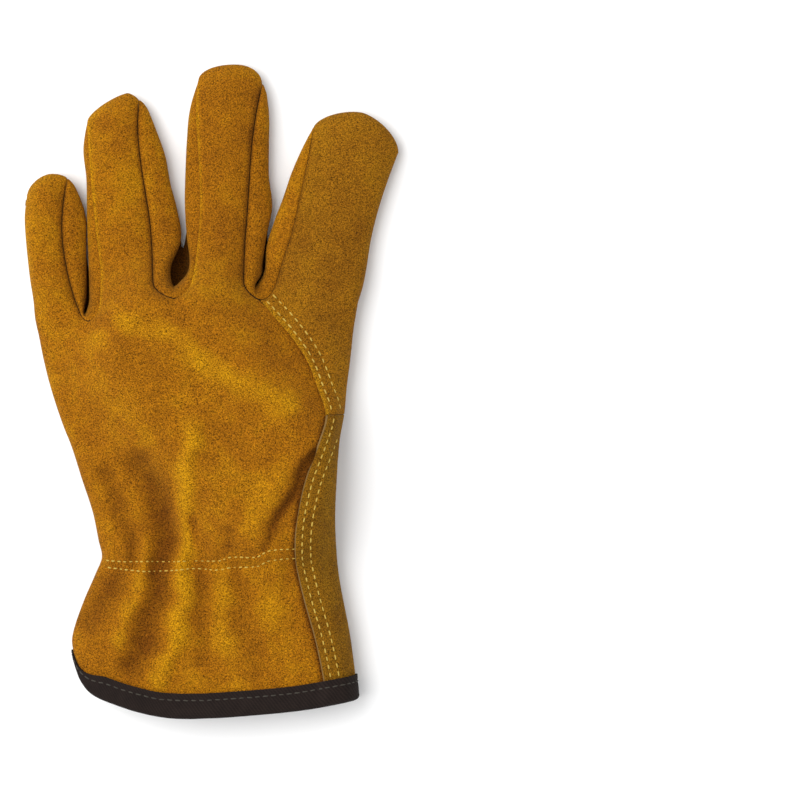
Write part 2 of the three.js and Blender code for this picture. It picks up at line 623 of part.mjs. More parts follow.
function thumbHalfWidth(along) {
  return lerp(holeRim, thumbWidth / 2, smooth(-holeHalf, holeHalf, along))
    * (1 - thumbTaper * smooth(thumbLevelTo * thumbLength, thumbLength, along));
}

function thumbPoint(start, q, t) {
  const end = thumbLength * (1 - thumbArch + thumbArch * roundOver(q, thumbArchRound));
  const along = lerp(start, end, t);
  return { along, point: thumbPlan(along, q * thumbHalfWidth(along)) };
}

// Height of the side seam: under the palm's edge at the hole, then halfway up the thumb
function thumbSeam(along, point) {
  return lerp(palmUnder(point) - rimGap - seamGap, thumbMiddle,
    smooth(-holeHalf, thumbLevelTo * thumbLength, along));
}

const thumbQs = [-1, -0.86, -0.62, -0.32, 0, 0.32, 0.62, 0.86, 1];
const thumbClosing = (t) => roundOver(clamp((t - thumbCloseFrom) / (1 - thumbCloseFrom)), 2);
const thumbTs = [0, 0.07, 0.16, 0.28, 0.42, 0.56, 0.7, 0.82, 0.91, 0.97, 1];

function thumbBack() {
  const sheet = new Sheet();
  sheet.patch(thumbTs, thumbQs, (t, q) => {
    const start = -holeHalf + (holeHalf + wall) * roundOver(q, 2);
    const { along, point } = thumbPoint(start, q, t);
    const seam = thumbSeam(along, point) + seamGap;
    const crown = Math.min(thumbHeight, palmUnder(point) - rimGap);
    const side = Math.min(1, backFullness * roundOver(q, sideRound)) * thumbClosing(t);
    const atSide = Math.abs(q) === 1;
    const z = t === 0 && !atSide ? palmUnder(point) - rimGap : Math.max(seam, lerp(seam, crown, side));
    return { point: at3(point, z), level: t === 1 || atSide };
  });
  return sheet.solid();
}

function thumbFrontPanel() {
  const sheet = new Sheet();
  sheet.patch(thumbTs, thumbQs, (t, q) => {
    const start = -holeHalf - (holeHalf + wall) * roundOver(q, 2);
    const { along, point } = thumbPoint(start, q, t);
    const rim = t === 0 && Math.abs(q) < 1;
    const seam = rim ? palmUnder(point) - rimGap : thumbSeam(along, point) - seamGap / 2;
    const rear = roundOver(1 - clamp(t / thumbRearTo), 2);
    const depth = Math.min(1, frontFullness * roundOver(q, sideRound))
      * Math.min(1, rearFullness * rear) * thumbClosing(t);
    return { point: at3(point, seam * (1 - depth)), level: t === 0 || t === 1 || Math.abs(q) === 1 };
  }, true);
  return sheet.solid();
}

// The hem's tape: a narrow U folded over the edge all the way round
const steepest = 0.4;          // the most that the section slants, as the sine of hem to section
const innerShort = 0.5;        // how far the inner leg ends below the outer one
const bindingWidthAt = (across) => bindingWidth * lerp(bindingSideShare, 1, smooth(-0.02, bindingTurn, across));

function cuffBinding() {
  const across = [...crowdLeft(5).map((q) => toAcross(little, q)), ...range(13, (t) => lerp(little.to, 0.9, t)).slice(1),
    ...crowdRight(5).map((q) => lerp(0.9, 1, (q + 1) / 2)).slice(1)];
  const stations = [...across.map((a) => ({ a, palm: false })),
    ...across.slice(1, -1).reverse().map((a) => ({ a, palm: true }))];
  const skin = (a, palm, up) => at3(handPlan(a, up),
    palm || a === 0 || a === 1 ? handPalm(a, up) : handBack(a, up));
  const ring = stations.map(({ a, palm }) => {
    const up = bindingWidthAt(a) / lengthAt(a);
    const edge = skin(a, palm, 0);
    const top = skin(a, palm, up);
    const along = top.clone().sub(edge).normalize();
    return { a, palm, up, edge, top, along };
  });
  ring.forEach((station, k) => {
    const before = ring[(k + ring.length - 1) % ring.length].edge;
    const after = ring[(k + 1) % ring.length].edge;
    const run = after.clone().sub(before).normalize();
    const square = run.cross(station.along);
    station.slant = 1 / Math.max(steepest, square.length());
    station.out = square.normalize();
    const lapped = !station.palm && station.a > lapAcross(0) - 0.03 && station.a < 1;
    station.over = lapped ? lapLift(Math.max(station.a, lapAcross(0)), 0) : 0;
  });
  // The section: distances below the hem's edge, or the tape's top where nothing is said, and out
  const legs = [
    { out: (s) => s.over + tapeGap + tapeThickness },
    { below: hemGap + 0.4 * tapeThickness, out: (s) => s.over + tapeGap + tapeThickness },
    { below: hemGap + tapeThickness, out: (s) => s.over / 2 - wall / 2 },
    { below: hemGap + 0.4 * tapeThickness, out: () => -wall - tapeGap - tapeThickness },
    { short: innerShort, out: () => -wall - tapeGap - tapeThickness },
    { short: innerShort, out: () => -wall - tapeGap },
    { below: hemGap, out: () => -wall - tapeGap },
    { below: hemGap, out: (s) => s.over + tapeGap },
    { out: (s) => s.over + tapeGap },
  ];
  const points = ring.flatMap((station) => legs.map(({ below, short = 0, out }) => {
    const start = below ? station.edge : station.top;
    const up = below ? -below * station.slant : -short;
    return start.clone().addScaledVector(station.along, up).addScaledVector(station.out, out(station));
  }));
  const triangles = [];
  const n = legs.length;
  for (let k = 0; k < ring.length; k += 1) {
    for (let m = 0; m < n; m += 1) {
      const next = (k + 1) % ring.length;
      const [a, b] = [k * n + m, k * n + (m + 1) % n];
      const [c, d] = [next * n + (m + 1) % n, next * n + m];
      triangles.push([a, b, c], [a, c, d]);
    }
  }
  return toGeometry(points, triangles);
}

// The thumb's hole is cut out of the palm
const wasm = await Module();
wasm.setup();

function toManifold(geometry) {
  const bare = new THREE.BufferGeometry();
  bare.setAttribute('position', geometry.getAttribute('position').clone());
  if (geometry.index) bare.setIndex(geometry.index.clone());
  const merged = mergeVertices(bare, 1e-4);
  return new wasm.Manifold(new wasm.Mesh({
    numProp: 3,
    vertProperties: new Float32Array(merged.getAttribute('position').array),
    triVerts: new Uint32Array(merged.index.array),
  }));
}

function fromManifold(solid) {
  const mesh = solid.getMesh();
  const geometry = new THREE.BufferGeometry();
  geometry.setAttribute('position', new THREE.BufferAttribute(new Float32Array(mesh.vertProperties), 3));
  geometry.setIndex(new THREE.BufferAttribute(new Uint32Array(mesh.triVerts), 1));
  return geometry;
}

const holeSegments = 16;

function withThumbHole(geometry) {
  const outline = new THREE.Shape();
  outline.absellipse(0, 0, thumbHoleWidth / 2, holeHalf, 0, 2 * Math.PI);
  const top = palmDrop + thumbHeight;
  const tool = new THREE.ExtrudeGeometry(outline, { depth: 2 * top, bevelEnabled: false, curveSegments: holeSegments });
  tool.rotateZ(THREE.MathUtils.degToRad(-thumbLean));
  tool.translate(holeCentre.x, holeCentre.y, -top);
  return fromManifold(toManifold(geometry).subtract(toManifold(tool)));
}

// Materials and the finished glove
const suede = (color) => new THREE.MeshStandardMaterial({ color, roughness: 0.95, metalness: 0 });
const golden = suede(0xc98a12);
const tape = new THREE.MeshStandardMaterial({ color: 0x2a1d18, roughness: 0.8, metalness: 0 });
const pieces = {
  back_panel: [backPanel(), golden],
  palm_panel: [withThumbHole(palmPanel()), golden],
  side_strip: [sideStrip(), golden],
  fourchette_little_ring: [fourchette(little, ring), golden],
  fourchette_ring_middle: [fourchette(ring, middle), golden],
  fourchette_middle_index: [fourchette(middle, index), golden],
  thumb_back: [thumbBack(), golden],
  thumb_front: [thumbFrontPanel(), golden],
  cuff_binding: [cuffBinding(), tape],
};

const group = new THREE.Group();
for (const [name, [geometry, material]] of Object.entries(pieces)) {
  geometry.computeVertexNormals();
  const mesh = new THREE.Mesh(geometry, material);
  mesh.name = name;
  group.add(mesh);
}

// The origin is the middle of the glove's footprint, on the surface that it lies on
const box = new THREE.Box3().setFromObject(group);
const middleOfBox = box.getCenter(new THREE.Vector3());
group.position.set(-middleOfBox.x, -middleOfBox.y, -box.min.z);
group.updateMatrixWorld(true);

export default group;
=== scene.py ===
"""A split-suede driver glove for the left hand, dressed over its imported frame.

Every panel is a sheet of leather worked out with numpy: an outer surface over the plan of the glove
and an inner one a wall's thickness behind it. Lengths are millimetres in the glove's own plan, whose
X runs to the thumb side from the middle of the hem and Y to the fingertips, until make_object puts
them into the frame in metres.
"""
import logging
import math
from dataclasses import dataclass, field, replace
from enum import Enum
from typing import Callable, NamedTuple, Optional, Sequence

import bpy
import numpy as np
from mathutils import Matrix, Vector


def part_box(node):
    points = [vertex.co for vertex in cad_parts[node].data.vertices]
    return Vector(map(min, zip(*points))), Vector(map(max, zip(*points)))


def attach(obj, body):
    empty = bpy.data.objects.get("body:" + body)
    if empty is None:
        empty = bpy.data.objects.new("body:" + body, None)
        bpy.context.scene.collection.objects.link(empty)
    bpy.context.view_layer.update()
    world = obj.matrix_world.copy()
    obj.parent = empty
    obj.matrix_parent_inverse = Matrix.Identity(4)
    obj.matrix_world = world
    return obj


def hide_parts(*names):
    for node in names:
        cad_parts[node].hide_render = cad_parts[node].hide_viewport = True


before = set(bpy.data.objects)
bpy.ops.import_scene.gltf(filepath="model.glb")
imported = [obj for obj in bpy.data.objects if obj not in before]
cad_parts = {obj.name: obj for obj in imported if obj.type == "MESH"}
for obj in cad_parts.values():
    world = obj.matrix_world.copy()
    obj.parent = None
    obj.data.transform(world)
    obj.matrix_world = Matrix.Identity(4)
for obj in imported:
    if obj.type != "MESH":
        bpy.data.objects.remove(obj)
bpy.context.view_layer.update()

log = logging.getLogger("glove")

Array = np.ndarray
Values = Array | float
Pair = tuple[Array, Array]
Piece = bpy.types.Object
Material = bpy.types.Material
Colour = tuple[float, float, float]
Place = tuple[float, float, float]

MM = 0.001
PHOTO_SIZE = 800                # pixels across the square photograph
PIXEL = 0.381                   # millimetres of the glove to a pixel of it
HEM_PIXEL = (209.5, 718.0)      # the pixel where the plan's origin lies


# Small tools


def lerp(a: Values, b: Values, t: Values) -> Values:
    """a at t = 0 and b at t = 1, along a straight line."""
    return a + (b - a) * t


def smooth(start: Values, end: Values, t: Values) -> Values:
    """0 before start, 1 after end, and 3k^2 - 2k^3 in between, with k the share of the way."""
    k = np.clip((t - start) / (end - start), 0, 1)
    return k * k * (3 - 2 * k)


def closeness(distance: Array, reach: Values) -> Array:
    """1 at a distance of 0, falling evenly to 0 at the reach."""
    return np.clip(1 - distance / reach, 0, 1)


def bell(distance: Array, reach: float) -> Array:
    """exp(-(distance / reach)^2): 1 at 0, falling away to both sides."""
    return np.exp(-(distance / reach) ** 2)


def round_over(t: Array, power: float) -> Array:
    """The height (1 - |t|^power)^(1 / power) of a rounded arch of half width and height 1."""
    return np.maximum(0, 1 - np.abs(t) ** power) ** (1 / power)


def round_end(t: Array, start: float) -> Array:
    """1 as far as start, then a quarter round down to 0 at t = 1."""
    return round_over(np.maximum(0, (t - start) / (1 - start)), 2)


def quarter_turn(k: Array) -> Array:
    """1 - sqrt(1 - k^2): from 0 at k = 0, ever steeper to nearly 1 at k = 1."""
    return 1 - np.sqrt(1 - np.minimum(k, 0.999) ** 2)


def unit(v: Array) -> Array:
    """Vectors along the last axis, made one long."""
    return v / np.maximum(np.linalg.norm(v, axis=-1, keepdims=True), 1e-9)


def stack(x: Array, y: Array, *more: Array) -> Array:
    """Coordinates that broadcast together, as points along a last axis."""
    return np.stack(np.broadcast_arrays(x, y, *more), axis=-1)


def raised(plan: Array, z: Array) -> Array:
    """Points of the plan, each at its height."""
    return np.concatenate([plan, z[..., None]], -1)


def walked(path: Array) -> Array:
    """Distance along a path to each of its points."""
    return np.concatenate([[0], np.cumsum(np.linalg.norm(np.diff(path, axis=0), axis=1))])


def segment_distance(point: Array, start: Array, end: Array) -> Array:
    """Distance of points from the line between start and end: |p - (start + t (end - start))|, t in 0..1."""
    line = np.asarray(end) - start
    t = np.clip((point - start) @ line / (line @ line), 0, 1)
    return np.linalg.norm(point - start - t[..., None] * line, axis=-1)


class Curve:
    """A smooth curve through table rows: a cubic whose slopes come from the row before and after."""

    def __init__(self, at: Sequence[float], value: Sequence[float]) -> None:
        """Args:
            at: where the rows lie, rising.
            value: the curve's value at each row.
        """
        self.at = np.array(at, float)
        self.value = np.array(value, float)
        last = len(self.at) - 1
        before = np.clip(np.arange(last + 1) - 1, 0, last)
        after = np.clip(np.arange(last + 1) + 1, 0, last)
        self.slope = (self.value[after] - self.value[before]) / (self.at[after] - self.at[before])

    @classmethod
    def through(cls, rows: Sequence[NamedTuple], at: str, value: str) -> "Curve":
        """The curve of one named column over another."""
        return cls([getattr(row, at) for row in rows], [getattr(row, value) for row in rows])

    def __call__(self, t: Values) -> Array:
        """f0 (2s^3 - 3s^2 + 1) + f1 (3s^2 - 2s^3) + m0 h (s^3 - 2s^2 + s) + m1 h (s^3 - s^2)."""
        t = np.asarray(t, float)
        k = np.clip(np.searchsorted(self.at, t, side="left") - 1, 0, len(self.at) - 2)
        h = self.at[k + 1] - self.at[k]
        s = np.clip((t - self.at[k]) / h, 0, 1)
        s2, s3 = s * s, s * s * s
        return (self.value[k] * (2 * s3 - 3 * s2 + 1) + self.slope[k] * h * (s3 - 2 * s2 + s)
                + self.value[k + 1] * (3 * s2 - 2 * s3) + self.slope[k + 1] * h * (s3 - s2))


# The glove's plan, in the same tables as its solids


class Face(Enum):
    """Which side of the lying glove a surface makes."""

    BACK = "back"
    PALM = "palm"


class HandRow(NamedTuple):
    """The hand at a share of its length: outlines in shares of the palm's width, lap across it."""

    up: float
    ulnar: float
    radial: float
    lap: float


class EdgeRow(NamedTuple):
    """How far along the hand the hem or the finger roots lie, in shares of its length."""

    across: float
    along: float


class WebRow(NamedTuple):
    """A web: its place across the roots, and the gap's floor from it in shares of the width."""

    across: float
    aside: float
    ahead: float


class Fold(NamedTuple):
    """A fold or brushed streak along a bent line of the plan (shares of the palm's width and length)."""

    line: tuple[tuple[float, float], ...]
    reach: float                 # half width, in millimetres
    rise: float                  # height of its middle line
    tone: float                  # how much lighter (+) or darker (-) it is painted: partly the lie of the nap, partly painted highlight on a ridge and painted shade in a valley


class ElasticRow(NamedTuple):
    """The two elastic stitch rows, in shares of the hand's length, across in shares of its width."""

    across: float
    upper: float
    lower: float


class FingerRow(NamedTuple):
    """A section of a finger, in shares of its width; a side with no seam is wrapped."""

    along: float
    left_edge: float
    left_seam: Optional[float]
    right_seam: Optional[float]
    right_edge: float


def table(kind: type, rows: Sequence[tuple]) -> tuple:
    """A table's rows, with their columns named."""
    return tuple(kind(*row) for row in rows)


HAND_ROWS = table(HandRow, (
    (0, -0.424, 0.461, 0.894), (0.06, -0.431, 0.454, 0.893),
    (0.16, -0.4, 0.437, 0.876), (0.26, -0.357, 0.413, 0.852),
    (0.31, -0.338, 0.403, 0.84), (0.36, -0.348, 0.397, 0.833),
    (0.45, -0.367, 0.393, 0.847), (0.55, -0.4, 0.398, 0.881),
    (0.65, -0.432, 0.407, 0.93), (0.718, -0.459, 0.421, 0.942),
    (0.79, -0.484, 0.429, 0.905), (0.86, -0.505, 0.44, 0.859),
    (0.93, -0.522, 0.449, 0.789), (1, -0.536, 0.463, 0.697),
))
HEM_ROWS = table(EdgeRow, (
    (0, 0.146), (0.03, 0.1), (0.075, 0.067), (0.15, 0.045),
    (0.23, 0.028), (0.32, 0.015), (0.43, 0.012), (0.6, 0.018),
    (0.78, 0.029), (0.87, 0.038), (1, 0.054),
))
ROOT_ROWS = table(EdgeRow, (
    (0, 0.912), (0.161, 0.943), (0.4315, 0.9955), (0.697, 0.994),
    (1, 0.988),
))
WEBS = (WebRow(0.161, -0.016, 0.026), WebRow(0.4315, -0.004, 0.041), WebRow(0.697, -0.022, 0.045))

LITTLE_ROWS = table(FingerRow, (
    (0.12, -0.48, None, 0.27, 0.42), (0.25, -0.485, None, 0.18, 0.45),
    (0.4, -0.512, None, 0.125, 0.47), (0.55, -0.522, None, 0.1, 0.5),
    (0.7, -0.525, None, 0.118, 0.523), (0.85, -0.51, None, 0.178, 0.455),
    (1, -0.44, None, 0.265, 0.325),
))
RING_ROWS = table(FingerRow, (
    (0.06, -0.52, -0.42, 0.325, 0.475), (0.12, -0.513, -0.375, 0.278, 0.49),
    (0.25, -0.51, -0.356, 0.264, 0.612), (0.4, -0.507, -0.385, 0.25, 0.585),
    (0.55, -0.498, -0.405, 0.212, 0.515), (0.7, -0.487, -0.418, 0.175, 0.468),
    (0.85, -0.505, -0.43, 0.16, 0.366), (1, -0.44, -0.435, 0.185, 0.25),
))
MIDDLE_ROWS = table(FingerRow, (
    (0.06, -0.41, -0.377, 0.348, 0.51), (0.12, -0.38, -0.32, 0.303, 0.515),
    (0.25, -0.44, -0.29, 0.287, 0.545), (0.4, -0.484, -0.282, 0.295, 0.595),
    (0.55, -0.497, -0.307, 0.3, 0.535), (0.7, -0.5, -0.35, 0.306, 0.516),
    (0.85, -0.485, -0.394, 0.337, 0.497), (1, -0.4, -0.395, 0.39, 0.432),
))
INDEX_ROWS = table(FingerRow, (
    (0.06, -0.54, -0.42, None, 0.4935), (0.12, -0.53, -0.38, None, 0.498),
    (0.25, -0.568, -0.365, None, 0.487), (0.4, -0.553, -0.343, None, 0.466),
    (0.55, -0.52, -0.343, None, 0.463), (0.7, -0.497, -0.352, None, 0.474),
    (0.85, -0.452, -0.362, None, 0.497), (1, -0.39, -0.385, None, 0.527),
))

FOLDS = table(Fold, (
    (((-0.05, 0.69), (-0.076, 0.47), (-0.074, 0.38), (-0.07, 0.276), (-0.105, 0.188), (-0.145, 0.095)),
         6, 1.8, 1.0),
    (((-0.208, 0.612), (-0.165, 0.555), (-0.137, 0.462), (-0.146, 0.379), (-0.15, 0.317), (-0.198, 0.214),
          (-0.233, 0.138)), 8, -2.4, -0.75),
    (((-0.314, 0.574), (-0.261, 0.452), (-0.226, 0.39)), 6, -1.4, -0.5),
    (((-0.28, 0.338), (-0.327, 0.276), (-0.389, 0.224)), 7, -1.6, -0.5),
    (((-0.212, 0.431), (-0.195, 0.369), (-0.212, 0.302), (-0.293, 0.183)), 5, 1.5, 0.6),
    (((-0.05, 0.471), (-0.05, 0.41)), 2.5, -0.8, -0.6),
    (((-0.011, 0.471), (0.017, 0.41)), 4, 0.8, 0.35),
    (((0.058, 0.452), (0.0515, 0.41)), 3.5, -0.9, -0.5),
    (((0.329, 0.636), (0.261, 0.529), (0.194, 0.451), (0.167, 0.405)), 2.6, -1.6, -0.9),
    (((0.335, 0.62), (0.275, 0.52), (0.21, 0.44)), 7, -1.2, -0.35),
    (((0.233, 0.574), (0.127, 0.452)), 6, 0.9, 0.45),
    (((0.0515, 0.352), (0.039, 0.188)), 6, 1.0, 0.4),
    (((-0.017, 0.343), (-0.023, 0.138)), 5, -0.9, -0.4),
    (((0.092, 0.343), (0.105, 0.214), (0.161, 0.112)), 6, -1.0, -0.35),
    (((0.208, 0.343), (0.194, 0.214)), 6, 0.8, 0.2),
    (((-0.264, 0.938), (-0.13, 0.91), (0.023, 0.833), (0.176, 0.774), (0.254, 0.75)), 7, 0.2, 0.75),
    (((-0.354, 0.9), (-0.33, 0.8), (-0.264, 0.733), (-0.208, 0.674)), 6, 0.2, 0.45),
))

ELASTIC_ROWS = table(ElasticRow, (
    (-0.33, 0.376, 0.36), (-0.26, 0.373, 0.354), (-0.19, 0.374, 0.35),
    (-0.12, 0.373, 0.352), (-0.05, 0.376, 0.357), (0.03, 0.376, 0.354),
    (0.07, 0.385, 0.36), (0.15, 0.386, 0.363), (0.19, 0.401, 0.377),
    (0.3, 0.406, 0.384),
))
ELASTIC_NAMES = ("upper", "lower")
ELASTIC_DENT = 0.55             # how far its stitches pull the leather down
STRIP_ROWS = (2.4, 5.6)         # stitch rows on the side strip, from its lapped edge
WRAP_ROWS = (1.5, 4.9)          # the same on the wrapped piece above it
LAP_DENT = 0.28
DENT_REACH = 0.8
EDGE_DENT = 0.45                # how far the lapped edge itself lies down
EDGE_REACH = 1.1
ROW_START = 0.055               # where the rows on the strip start, in shares of the hand's length
ROW_BREAK = 0.006               # how far short of the short seam they stop and start again
ROW_END = 0.995
ROW_MARGIN = 0.9                # the least leather beside them
PATH_POINTS = 160
ELASTIC_POINTS = 200
ELASTIC_FROM = 0.02             # where the elastic rows start across the hand
ELASTIC_UNDER = 0.5             # how far under the lapping piece they run
ELASTIC_STITCH = 0.76           # how much finer their stitches are
CELL = 1.3                      # size of the grids' cells
PLACE_ROUNDS = 14               # rounds of substitution that find a place on the hand


@dataclass(frozen=True)
class NapAndShading:
    """How much lighter (+) or darker (-) the suede is painted: a little for the lie of its nap, mostly
    painted highlight and shade where the leather bends or is sewn.
    """

    turned: float = 0.35         # painted highlight where a finger turns over to its side
    crotch: float = -0.5         # painted shade on the strips near the webs
    web: float = -2.0            # painted shade on the slack below the webs, deep in the gap between the fingers
    fold_spread: float = 1.1     # how much wider than a fold its tone is
    lapped_folds: float = 0.4    # the share of the folds' tone on a lapping piece
    wrap_edge: float = 1.5       # along the wrapped piece's lapped edge
    edge_reach: float = 0.9
    strip_shadow: float = -1.5   # painted shadow on the back, beside the side strip
    wrap_shadow: float = -0.45   # painted shadow on the back, beside the wrapped piece
    shadow_reach: float = 1.3
    light_to: float = 0.3        # a finger's own lightness is full from here, as shares of its length
    side_blend: tuple[float, float] = (0.1, 0.4)   # the painted highlight on the turned sides fades in from here to here
    arm_blend: tuple[float, float] = (0.2, 0.5)    # the same on the strips
    crotch_blend: tuple[float, float] = (0.02, 0.3)
    sharpness: float = 0.7       # power that narrows the tone of a rolled seam


NAP_AND_SHADING = NapAndShading()


@dataclass(frozen=True)
class Leather:
    """Thicknesses and clearances of the sewn leather."""

    wall: float = 1.4
    fourchette_wall: float = 1.0
    seam_gap: float = 0.3
    lap_gap: float = 0.7
    lap_open: float = 0.5
    rim_gap: float = 0.5
    roll: float = 0.9            # how far a sewn edge turns down into its seam
    roll_reach: float = 2.0
    rim_bulge: float = 0.25      # roundness of a cut edge, as a share of the wall
    corner_taper: float = 0.88   # how much thinner it is skived at the corners of the fingertips


@dataclass(frozen=True)
class Thumb:
    """The thumb folded under the palm, and its hole."""

    length: float = 58
    width: float = 32
    height: float = 10.6
    hole_length: float = 38
    hole_width: float = 30
    lean: float = math.radians(-38)
    hole_up: float = 0.56
    hole_margin: float = 0.8     # leather between the hole and the side strip's seam

    @property
    def aim(self) -> Array:
        """The direction from the hole to the tip."""
        return np.array([math.sin(self.lean), math.cos(self.lean)])

    @property
    def side(self) -> Array:
        """The direction across the thumb, to the right."""
        return np.array([math.cos(self.lean), -math.sin(self.lean)])


@dataclass
class Hand:
    """The hand of the glove: its plan and the heights of its back and palm."""

    leather: Leather
    thumb: Thumb
    length: float = 160
    palm_width: float = 122
    back_rise: float = 10
    wrist_rise: float = 2.5
    wrist_start: float = 0.3
    wrist_fade: float = 0.2
    palm_drop: float = 7
    round_power: float = 3.2
    underlap: float = 8
    strip_under: float = 7
    cover_share: float = 0.3
    cover_full: float = 1.6      # how many covers wide a lapping piece is fully lifted
    lap_fall: float = 14
    lap_start: float = 0.94
    short_seam: float = 0.718
    web_dip: float = 3.2
    web_dip_reach: float = 11
    elastic_row: float = 0.365
    elastic_depth: float = 1.6
    elastic_reach: float = 7
    lift_margin: float = 2
    lift_fall: float = 27
    hem_rise: float = 1.6
    hem_from: float = 0.03       # where the hem's rise starts and ends, in shares of the length
    hem_to: float = 0.22
    pucker: float = 0.34         # height of the small gathers beside the elastic rows
    pucker_pitch: float = 6.5
    pucker_reach: float = 9
    slack: float = 0.3           # height of the leather's slow waves
    ulnar: Curve = Curve.through(HAND_ROWS, "up", "ulnar")
    radial: Curve = Curve.through(HAND_ROWS, "up", "radial")
    lap: Curve = Curve.through(HAND_ROWS, "up", "lap")
    hem: Curve = Curve.through(HEM_ROWS, "across", "along")
    root: Curve = Curve.through(ROOT_ROWS, "across", "along")

    def plan(self, across: Values, up: Values) -> Array:
        """Points of the plan: x from the ulnar to the radial outline, y from the hem to the roots."""
        x = self.palm_width * lerp(self.ulnar(up), self.radial(up), across)
        y = self.length * lerp(self.hem(across), self.root(across), up)
        return stack(x, y)

    def place(self, point: Array) -> Pair:
        """The place (across, up) that lies under points of the plan, by repeated substitution."""
        across = np.full(point.shape[:-1], 0.5)
        up = across
        for _ in range(PLACE_ROUNDS):
            up = (point[..., 1] / self.length - self.hem(across)) / (self.root(across) - self.hem(across))
            low, high = self.ulnar(up), self.radial(up)
            across = np.clip((point[..., 0] / self.palm_width - low) / (high - low), 0, 1)
        return across, up

    def roots(self, across: Values) -> Array:
        """Points on the line of the finger roots."""
        return self.plan(across, 1.0)

    def width_at(self, up: Values) -> Array:
        """Width of the hand at a share of its length."""
        return self.palm_width * (self.radial(up) - self.ulnar(up))

    def length_at(self, across: Values) -> Array:
        """Length from the hem to the roots at a share of the width."""
        return self.length * (self.root(across) - self.hem(across))

    def past_lap(self, across: Values, up: Array) -> Array:
        """How far a place lies past the lapped edge, across the hand."""
        return (across - self.lap(up)) * self.width_at(up)

    def lap_run(self, up: Array, small: float = 1e-3) -> Array:
        """A short run along the lapped edge, towards the fingers."""
        return self.plan(self.lap(up + small), up + small) - self.plan(self.lap(up - small), up - small)

    def strip_seam(self, up: Values) -> Array:
        """Where the side strip's under edge lies across the palm."""
        return 1 - self.strip_under / self.width_at(up)

    @property
    def lap_open(self) -> float:
        """How far the back's edge stands off the lapping piece at the finger roots, across the hand."""
        return float(self.leather.lap_open / self.width_at(1.0))

    @property
    def hole_centre(self) -> Array:
        """Middle of the thumb's hole in the plan, a margin inside the side strip's seam."""
        thumb = self.thumb
        half = math.hypot(thumb.hole_length * thumb.aim[0], thumb.hole_width * thumb.aim[1]) / 2
        up = thumb.hole_up
        return self.plan(1 - (self.strip_under + thumb.hole_margin + half) / self.width_at(up), up)

    @property
    def thumb_front(self) -> Array:
        """Front end of the thumb's hole, where the thumb's frame starts."""
        return self.hole_centre + self.thumb.aim * self.thumb.hole_length / 2

    def lift(self, point: Array) -> Array:
        """How far the hand is lifted: level over the thumb, falling away beside it, and by the hem."""
        thumb = self.thumb
        tip = self.thumb_front + thumb.aim * (thumb.length - thumb.width / 2)
        reach = segment_distance(point, self.hole_centre, tip)
        flat = thumb.width / 2 + self.lift_margin
        over = (thumb.height + self.leather.lap_gap) * (1 - smooth(flat, flat + self.lift_fall, reach))
        at_hem = self.hem_rise * (1 - smooth(self.hem_from, self.hem_to, point[..., 1] / self.length))
        return np.maximum(over, at_hem)

    def folds(self, point: Array, column: str, spread: float = 1) -> Array:
        """Sum of value (3n^2 - 2n^3) over the folds, with n = 1 on a fold's line and 0 at its reach.

        Args:
            point: points of the plan; a slow wave moves them a little, so that no fold runs straight.
            column: which value of a fold is summed.
            spread: how many times its reach it acts.

        Returns:
            The sum at each point.
        """
        x, y = point[..., 0], point[..., 1]
        bent = point + 0.7 * stack(np.sin(y / 6.5) + np.sin(y / 3.1 + 2), np.sin(x / 5.7))
        total = np.zeros(point.shape[:-1])
        for fold in FOLDS:
            line = np.array(fold.line) * (self.palm_width, self.length)
            away = np.min([segment_distance(bent, a, b) for a, b in zip(line, line[1:])], axis=0)
            total += getattr(fold, column) * smooth(0, 1, closeness(away, fold.reach * spread))
        return total

    def softness(self, point: Array) -> Array:
        """Slack of soft leather: two crossing waves, each bent by the other's run."""
        x, y = point[..., 0], point[..., 1]
        wide = np.sin(x / 4.7 + 1.7 * np.sin(y / 11)) * np.sin(y / 6.3 + 1.3 * np.sin(x / 8))
        fine = np.sin(x / 2.3 + 1.9 * np.sin(y / 4.4)) * np.sin(y / 2.9 + 1.7 * np.sin(x / 3.7))
        return self.slack * wide + self.slack / 3 * fine

    def relief(self, point: Array) -> Array:
        """Folds, the dip of the elastic row, and small gathers that fade away from it."""
        off = point[..., 1] - self.elastic_row * self.length
        dip = closeness(np.abs(off), self.elastic_reach)
        wave = np.sin(2 * math.pi * point[..., 0] / self.pucker_pitch + 0.9 * np.sin(point[..., 0] / 9))
        gathers = self.pucker * wave * bell(off, self.pucker_reach)
        return self.folds(point, "rise") + self.softness(point) - self.elastic_depth * dip * dip + gathers

    def web_sink(self, point: Array) -> Array:
        """How far the back sinks near the closest web: dip k^2, with k falling to 0 at its reach."""
        away = np.min([np.linalg.norm(point - self.roots(web.across), axis=-1) for web in WEBS], axis=0)
        k = closeness(away, self.web_dip_reach)
        return self.web_dip * k * k

    def profile(self, across: Array) -> Array:
        """Share of the full rise or drop across the hand, a rounded arch."""
        return round_over(2 * across - 1, self.round_power)

    def back(self, across: Array, up: Array) -> Array:
        """Height of the back's outer surface: lift + drop + profile (rise + relief - web sink)."""
        point = self.plan(across, up)
        wrist = self.wrist_rise * (1 - smooth(self.wrist_start, self.wrist_start + self.wrist_fade, up))
        rise = self.back_rise + wrist + self.relief(point) - self.web_sink(point)
        return self.lift(point) + self.palm_drop + self.profile(across) * rise

    def palm(self, across: Array, up: Array) -> Array:
        """Height of the palm's outer surface: lift + drop (1 - profile)."""
        return self.lift(self.plan(across, up)) + self.palm_drop * (1 - self.profile(across))

    def cover(self, up: Array) -> Array:
        """How far a lapping piece lies over the back below it, in millimetres."""
        return np.minimum(self.underlap, self.cover_share * (1 - self.lap(up)) * self.width_at(up))

